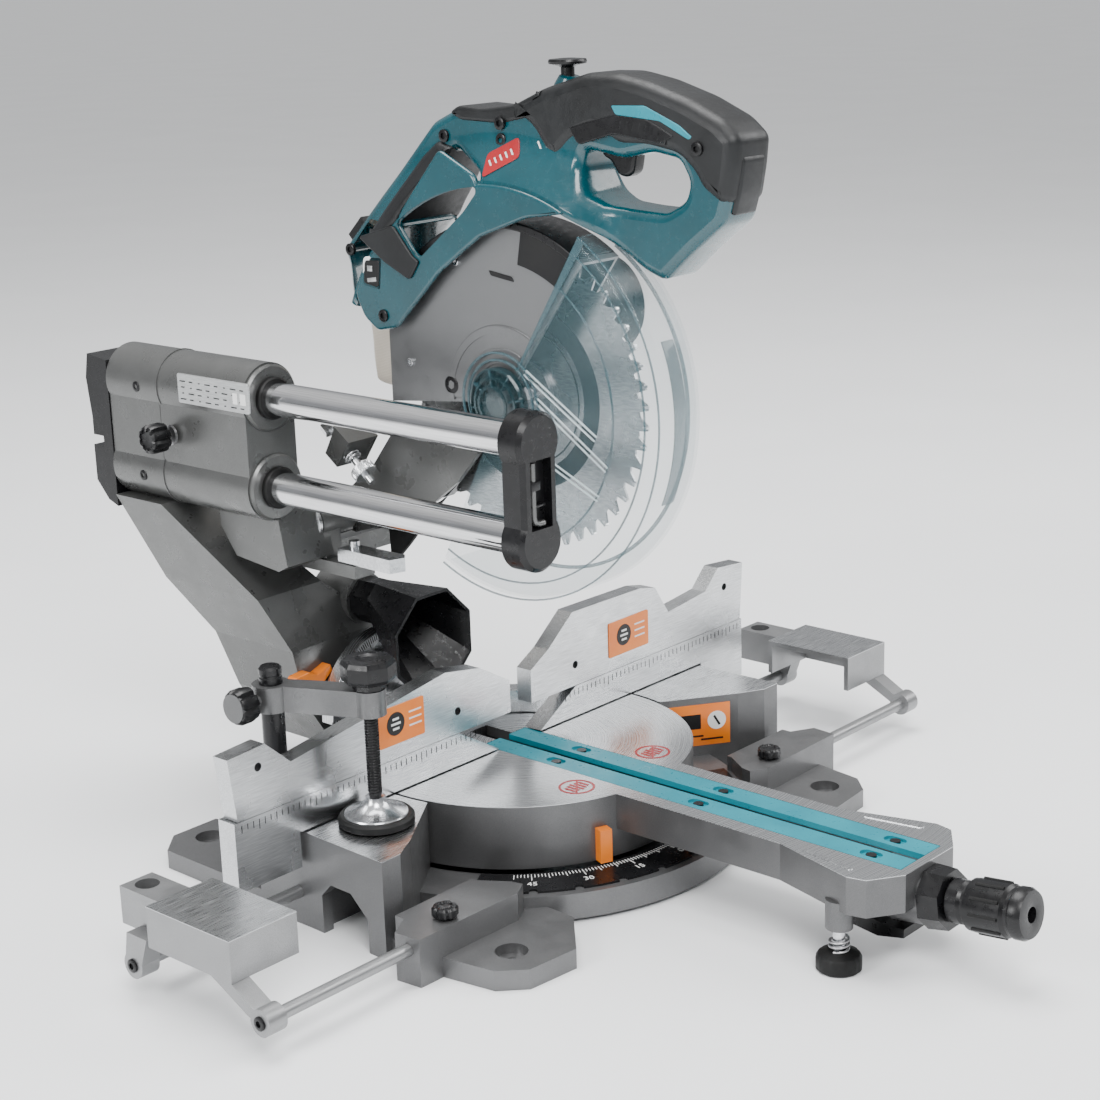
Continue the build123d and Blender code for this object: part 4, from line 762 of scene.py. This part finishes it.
# ---------------------------------------------------------------- carriage, pipes and arm
def make_slide():
    """Trim of the carriage, end cap and arm."""
    x = box_mm("carriage")[0].x
    label = [(211, 346), (132, 346), (132, 324), (211, 324)]
    plate("data_label", [label], (x - 0.9, x + 0.6), 0.3, "carriage", "label", corner=2)
    lines = [((205 - 9.4 * i, 340.5 - 4.4 * row, x - 1.0), (6.0 - 2.2 * ((i + row) % 3), 0.8, 0.3), 0)
             for i in range(8) for row in range(4)]
    bars("data_label_lines", lines, "carriage", "ink", view=SIDE)
    bars("data_label_keys", [((138, 334, x - 1.1), (6, 8, 0.3), 0), ((146.5, 334, x - 1.1), (5, 8, 0.3), 0)],
         "carriage", "white", view=SIDE)
    low, high = box_mm("slide_lock_knob")
    centre = ((low.y + high.y) / 2, (low.z + high.z) / 2)
    knob = [(6, 0), (10.6, 1.5), (11, 4), (11, 13), (10, 16), (8, 17), (7.5, 15.5), (3, 15)]
    lathe("slide_knob", knob, (low.x + 18, *centre), (-1, 0, 0), "slide_lock", "black", scallops=(8, 1.6),
          stands_for=("slide_lock_knob",))
    lathe("slide_knob_washer", [(6, 0), (7.5, 0.5), (7.5, 2.6), (5, 3)], (x + 0.5, *centre), (-1, 0, 0), "carriage",
          "steel")
    for z, name in ((331, "upper"), (265, "lower")):
        lathe(f"barrel_seam_{name}", [(24, 0), (26.2, 0.3), (26.2, 1.7), (24, 2)], (-100, 236.5, z), (0, 1, 0),
              "carriage", "gunmetal")
        lathe(f"barrel_lip_{name}", [(24.4, 0), (24.4, 1.6), (22.8, 3.2), (17.5, 3.2)], (-100, 140.8, z),
              (0, -1, 0), "carriage", "gunmetal")
        lathe(f"pipe_wiper_{name}", [(15.0, 2.4), (15.4, 3.4), (15.4, 6.4), (14.4, 7.4), (12.4, 7.4)],
              (-100, 140.8, z), (0, -1, 0), "carriage", "rubber")
    low, high = box_mm("pipe_end_cap")
    hex_bar = [(-104.5, low.y + 3.4, 318), (-104.5, low.y + 3.4, 282), (-103.5, low.y + 3.4, 278.5),
               (-100, low.y + 3.4, 276.8), (-95, low.y + 3.4, 276.8)]
    wire("hex_wrench", hex_bar, 2.2, "arm", "gunmetal")
    bars("wrench_clip", [((-104.5, 303, low.y + 2.6), (9, 6, 4.6), 0), ((-100, 289, low.y + 4), (14, 2, 3), 0)],
         "arm", "black", view=FRONT, bevel=0.6)
    screws("arm_bolts", [(-124.6, 262, 330), (-124.6, 262, 262)], 4.0, (-1, 0, 0), "arm")


def make_depth_stop():
    """Spring and knurled nut on the depth bolt, and the cap on the hinge pin."""
    axis = Vector((0, 48, 40)).normalized()
    foot = Vector((-44, 99, 264))
    coil("depth_spring", foot + axis * 21.6, foot + axis * 27, 5.6, 0.9, 2, "head", "zinc")
    lathe("knurled_nut", [(8.4, 0), (9.2, 0.8), (9.2, 6), (8.4, 6.8)], tuple(foot + axis * 5.8), tuple(axis),
          "depth_bolt", "zinc", steps=96, scallops=(32, 0.7))
    lathe("hinge_cap", [(13.4, 0), (14.4, 1), (14.4, 3.4), (12.6, 4.4), (9.2, 4.4), (8.6, 2.6)], (-60, 150, 228),
          (-1, 0, 0), "carriage", "zinc")


make_slide()
make_depth_stop()


# ---------------------------------------------------------------- bevel scale and dust mouth
def make_bevel_scale():
    """Ring scale of the bevel with its marks, and the orange pointer."""
    ring = [(-62 * cos(radians(a)), TABLE_Z + 62 * sin(radians(a))) for a in range(2, 179, 4)]
    ring += [(46.5 * cos(radians(a)), TABLE_Z + 46.5 * sin(radians(a))) for a in range(2, 179, 4)]
    plate("bevel_ring", [ring], (136.9, 138.2), 0.3, "turntable", "zinc", view=FRONT, corner=0)
    marks = []
    for degree in range(-48, 49, 2):
        turn = radians(90 + degree)
        length = 5 if degree % 10 else 8
        r = 61.4 - length / 2
        marks.append(((r * cos(turn), TABLE_Z + r * sin(turn), 136.8), (length, 0.7, 0.3), 90 + degree))
    bars("bevel_marks", marks, "turntable", "ink", view=FRONT)
    pointer = [(-86, 104), (-84, 93), (-72, 92), (-58, 98), (-46, 107), (-48, 113), (-62, 108), (-70, 112), (-84, 111)]
    plate("bevel_pointer", [pointer], (151, 160.5), 1.2, "arm", "orange", view=FRONT, corner=2)
    screws("bevel_pointer_screw", [(-73, 150.4, 95)], 3.6, (0, -1, 0), "arm", "zinc")


make_bevel_scale()


# ---------------------------------------------------------------- table, fences and scales
def make_table_trim():
    """Mitre scale, fence rules, a dark strip painted as the shade down the kerf slot, warning marks and table ribs."""
    marks = []
    for degree in range(-50, 51):
        turn = radians(degree - 90)
        length = 9 if degree % 15 == 0 else (6.5 if degree % 5 == 0 else 4)
        r = 136 + length / 2
        marks.append(((r * cos(turn), r * sin(turn), 23.15), (length, 0.6, 0.3), degree - 90))
    bars("mitre_marks", marks, "base", "white")
    for degree in (-45, -30, -15, 0, 15, 30, 45):
        turn = radians(degree - 90)
        words(f"mitre_figure_{'m' if degree < 0 else 'p'}{abs(degree)}", str(abs(degree)), 7.5,
              (151 * cos(turn), 151 * sin(turn), 23.1), degree, "base", "white")
    # A near-black strip deep in the blade slot between the kerf boards: painted shade.
    bars("kerf_slot_shade", [((0, -150, 52.7), (16, 340, 1.0), 0)], "turntable", "ink")
    for x, name in ((41, "right"), (-43, "left")):
        ring = [(x + 13 * cos(radians(a)), -93 + 13 * sin(radians(a))) for a in range(0, 360, 10)]
        hole = [(x + 11.2 * cos(radians(a)), -93 + 11.2 * sin(radians(a))) for a in range(0, 360, 10)]
        plate(f"hand_mark_{name}", [ring, hole], (69.9, 70.25), 0.05, "turntable", "red", view=PLAN, corner=0)
        bars(f"hand_mark_bars_{name}", [((x + 3.6 * i, -93, 70.15), (1.8, 13 - 2 * abs(i), 0.3), 0)
                                        for i in (-2, -1, 0, 1, 2)] + [((x, -93, 70.2), (21, 1.6, 0.3), 40)],
             "turntable", "red")
    for s in (-1, 1):
        rib = [(s * x, y) for x, y in ((33, -280), (37, -280), (44, -322), (40, -322))]
        word = "left" if s < 0 else "right"
        plate(f"table_rib_{word}", [rib], (69.6, 70.5), 0.2, "turntable", "base", view=PLAN, corner=1.6)
    rules = []
    for s in (-1, 1):
        for step in range(0, 46):
            x = s * (42 + 5 * step)
            tall = 7 if step % 10 == 2 else (5 if step % 2 else 4)
            rules.append(((x, 92.4 - tall / 2, -0.06), (0.55, tall, 0.2), 0))
    bars("fence_rules", rules, "base", "ink", view=FRONT)


def fence_trim():
    """Labels and screw holes of the sliding fences."""
    for body, s, xs in (("left_fence", -1, (-142, -98)), ("right_fence", 1, (103, 151))):
        word = "left" if s < 0 else "right"
        outline = [(xs[0], 106), (xs[1], 106), (xs[1], 134), (xs[0], 134)]
        plate(f"fence_label_{word}", [outline], (-0.7, 0.1), 0.2, body, "orange", view=FRONT, corner=1.5)
        middle = (sum(xs) / 2, 121)
        disc = [(middle[0] - 6 + 8.5 * cos(radians(a)), middle[1] + 8.5 * sin(radians(a))) for a in range(0, 360, 12)]
        plate(f"fence_label_disc_{word}", [disc], (-0.9, 0), 0.1, body, "ink", view=FRONT, corner=0)
        bars(f"fence_label_bars_{word}", [((middle[0] - 6, 121 + 3.6 * i, -0.95), (9 - 3 * abs(i), 1.6, 0.2), 0)
                                          for i in (-1, 0, 1)]
             + [((middle[0] + 13, 126 - 5 * i, -0.75), (12, 1.2, 0.2), 0) for i in range(3)],
             body, "white", view=FRONT)
        rings = []
        for x, z in ((s * 250, 128), (s * 64, 112)):
            rings.append([(x + 3.0 * cos(radians(a)), z + 3.0 * sin(radians(a))) for a in range(0, 360, 20)])
        for i, ring in enumerate(rings):
            plate(f"fence_hole_{word}_{i}", [ring], (5.2, 6.4), 0.2, body, "ink", view=FRONT, corner=0)


def block_label():
    """Orange sign on the slanted front face of the right block."""
    along = Vector((52, -36, 0)).normalized()
    outward = Vector((along.y, -along.x, 0))
    view = Matrix((along, Vector((0, 0, 1)), outward)).transposed().to_4x4()
    view.translation = Vector((154, -48, 47)) * MM
    bars("block_label", [((0, 0, 0.2), (50, 34, 0.5), 0)], "base", "orange", view=view, bevel=0.15)
    disc = [(14 + 7.5 * cos(radians(a)), 3 + 7.5 * sin(radians(a))) for a in range(0, 360, 12)]
    plate("block_label_disc", [disc], (0.3, 0.7), 0.05, "base", "white", view=view, corner=0)
    bars("block_label_marks", [((14, 3, 0.8), (1.8, 9, 0.2), 30), ((-9, 3, 0.55), (20, 12, 0.2), 0),
                               ((-9, -9, 0.55), (24, 1.4, 0.2), 0), ((10, -12, 0.55), (18, 1.4, 0.2), 0)],
         "base", "ink", view=view)


make_table_trim()
fence_trim()
block_label()


# ---------------------------------------------------------------- front: grip, foot and knobs
def make_grips():
    """Ribbed mitre grip, its collar, the foot's spring and rubber, and the clamp knobs."""
    tilt = radians(6)
    axis = Vector((0, -cos(tilt), sin(tilt)))
    base = Vector((0, -354.5, 46))
    profile = [(12, 16.6), (14.2, 18), (14.2, 26), (12.8, 28), (12.8, 30), (16.8, 32), (17.2, 36), (17.2, 58),
               (15.2, 60), (15.2, 62.5), (16.9, 64), (16.9, 69), (15.2, 72), (8, 72.6), (5.2, 72), (5, 66), (1, 66)]
    lathe("mitre_grip_shell", profile, tuple(base), tuple(axis), "mitre_grip", "black", steps=96,
          stands_for=("mitre_grip",))
    strips = []
    for i in range(10):
        angle = 2 * pi * i / 10
        start = base + axis * 37
        out = Vector((cos(angle), sin(angle) * sin(tilt), sin(angle) * cos(tilt))) * 17.1
        strips.append((start + out, base + axis * 57 + out))
    for i, (start, end) in enumerate(strips):
        wire(f"grip_flute_{i}", [start, end], 1.3, "mitre_grip", "rubber")
    x, y = -44, -314
    coil("foot_spring", (x, y, 13.4), (x, y, 21.6), 6.2, 0.9, 2.5, "front_foot", "steel")
    foot = [(13.5, 0), (15, 1.2), (15, 8.6), (13.6, 11), (9, 12.6), (7.5, 13)]
    lathe("foot_rubber", foot, (x, y, 0), (0, 0, 1), "front_foot", "rubber", stands_for=("foot_pad",),
          scallops=(12, 0.5))
    knob = [(3.2, -5.8), (3.2, 0), (7.6, 0.6), (8.8, 2), (8.8, 6.6), (7.6, 8), (5.4, 8.3), (4.8, 7.4), (1.2, 7.2)]
    for node, body in (("left_holder_knob", "left_holder_knob"), ("right_holder_knob", "right_holder_knob")):
        low, high = box_mm(node)
        lathe(f"{body}_cap", knob, ((low.x + high.x) / 2, (low.y + high.y) / 2, 34), (0, 0, 1), body, "black",
              scallops=(6, 1.1), stands_for=(node,))


def make_holder_trim():
    """Cap screws on the ends of the holders' rods."""
    for s, word in ((-1, "left"), (1, "right")):
        body = f"{word}_holder"
        screws(f"{word}_rod_screws", [(s * 354, -112, 24), (s * 354, 10, 24)], 4.6, (s, 0, 0), body)


def make_vise():
    """Threaded clamp screw with its faceted knob, cup and rubber ring, and the post."""
    low, high = box_mm("vise_screw")
    x, y = (low.x + high.x) / 2, (low.y + high.y) / 2
    knob = [(6, 164), (11, 165.5), (11.5, 169), (17.5, 171.5), (18.8, 174), (18.8, 183), (17, 186), (9, 186.6),
            (6.4, 185.4), (1.5, 185)]
    lathe("clamp_knob", [(r, h - 10) for r, h in [(4.3, 94), (4.3, 172)]] + [(r, h + 1) for r, h in knob[1:]],
          (x, y, 0), (0, 0, 1), "vise_screw", "black", steps=8, stands_for=("vise_screw",), crease=20)
    coil("clamp_thread", (x, y, 92), (x, y, 146), 4.4, 0.6, 27, "vise_screw", "black")
    cup = [(22, 7.5), (21.5, 8.4), (16, 10), (10, 13.6), (7.6, 17), (6.8, 19.5), (5.4, 20)]
    lathe("clamp_cup", cup, (x, y, TABLE_Z), (0, 0, 1), "vise_screw", "zinc")
    ring = [(24.4, 0.5), (26, 1.6), (26, 5.6), (24.4, 7.4), (20.5, 7.6), (19.8, 6.6), (4, 6.6)]
    lathe("clamp_ring", ring, (x, y, TABLE_Z), (0, 0, 1), "vise_screw", "rubber", stands_for=("vise_pad",))
    low, high = box_mm("vise_post")
    px, py = (low.x + high.x) / 2, (low.y + high.y) / 2
    post = [(7.9, low.z), (7.9, high.z - 8), (7.3, high.z - 7.4), (7.3, high.z - 6), (7.9, high.z - 5.4),
            (7.9, high.z - 1.6), (6.4, high.z), (2, high.z)]
    lathe("clamp_post", post, (px, py, 0), (0, 0, 1), "vise_post", "black", stands_for=("vise_post",))
    arm_low = box_mm("vise_arm")[0]
    side_knob = [(4, 0), (11.8, 1), (12.4, 4), (12.4, 11), (11, 14), (7, 15), (6, 13.8), (1.5, 13.6)]
    lathe("clamp_side_knob", side_knob, (arm_low.x + 15, py, 157), (-1, 0, 0), "vise_arm", "black", scallops=(7, 2.0))


make_grips()
make_holder_trim()
make_vise()


# ---------------------------------------------------------------- dust bag
def make_bag():
    """A filled cloth bag with a bound seam and a collar, rounded by subdivision."""
    low, high = box_mm("dust_bag")
    centre, half = (low + high) / 2, (high - low) / 2
    work = bmesh.new()
    bmesh.ops.create_cube(work, size=2)
    bmesh.ops.subdivide_edges(work, edges=work.edges[:], cuts=13, use_grid_fill=True)
    for vertex in work.verts:
        p = vertex.co
        sphere = p.normalized() * (abs(p.x) ** 4 + abs(p.y) ** 4 + abs(p.z) ** 4) ** 0.25
        p = p.lerp(sphere * 1.02, 0.72)
        squeeze = 1 - 0.10 * max(0.0, -p.y) ** 2
        sag = 0.06 * (1 - p.z) * (1 - p.x * p.x)
        p = Vector((p.x * squeeze * (1 + sag), p.y * (1 + 0.3 * sag), p.z * squeeze))
        wrinkle = 0.018 * sin(9 * p.z + 4 * p.y) * cos(7 * p.y - 3 * p.x)
        p = p * (0.93 + wrinkle)
        vertex.co = Vector(centre[i] + p[i] * half[i] for i in range(3)) * MM
    bmesh.ops.recalc_face_normals(work, faces=work.faces)
    mesh = bpy.data.meshes.new("dust_bag_cloth")
    work.to_mesh(mesh)
    work.free()
    bag = place_piece(mesh, "dust_bag_cloth", "head", "bag", stands_for=("dust_bag",), crease=180)
    smooth = bag.modifiers.new("smooth", "SUBSURF")
    smooth.levels = smooth.render_levels = 1
    seam = []
    for i in range(48):
        angle = 2 * pi * i / 48
        y, z = cos(angle), sin(angle)
        scale = (abs(y) ** 5 + abs(z) ** 5) ** -0.2
        seam.append((centre.x, centre.y + y * scale * half.y * 0.925, centre.z + z * scale * half.z * 0.925))
    wire("dust_bag_seam", seam, 1.7, "head", "seam", closed=True)
    lathe("dust_bag_collar", [(14.5, 0), (16, 1), (16, 5), (15, 6), (14, 9), (17, 13), (18, 15)],
          (centre.x - 7, low.y - 5, 385), (0, 1, 0), "head", "black")


make_bag()


# ---------------------------------------------------------------- floor
def make_floor():
    """A plain pale floor under the saw."""
    mesh = bpy.data.meshes.new("floor")
    size = 40.0
    mesh.from_pydata([(-size, -size, 0), (size, -size, 0), (size, size, 0), (-size, size, 0)], [], [(0, 1, 2, 3)])
    look = Look("floor_paper")
    tone = look.blend(look.spread(look.noise(3), 0, 1), (0.86, 0.87, 0.88), (0.88, 0.89, 0.90))
    mesh.materials.append(look.finish(tone, look.spread(look.noise(8), 0.7, 0.8)))
    floor = bpy.data.objects.new("floor", mesh)
    bpy.context.scene.collection.objects.link(floor)


make_floor()
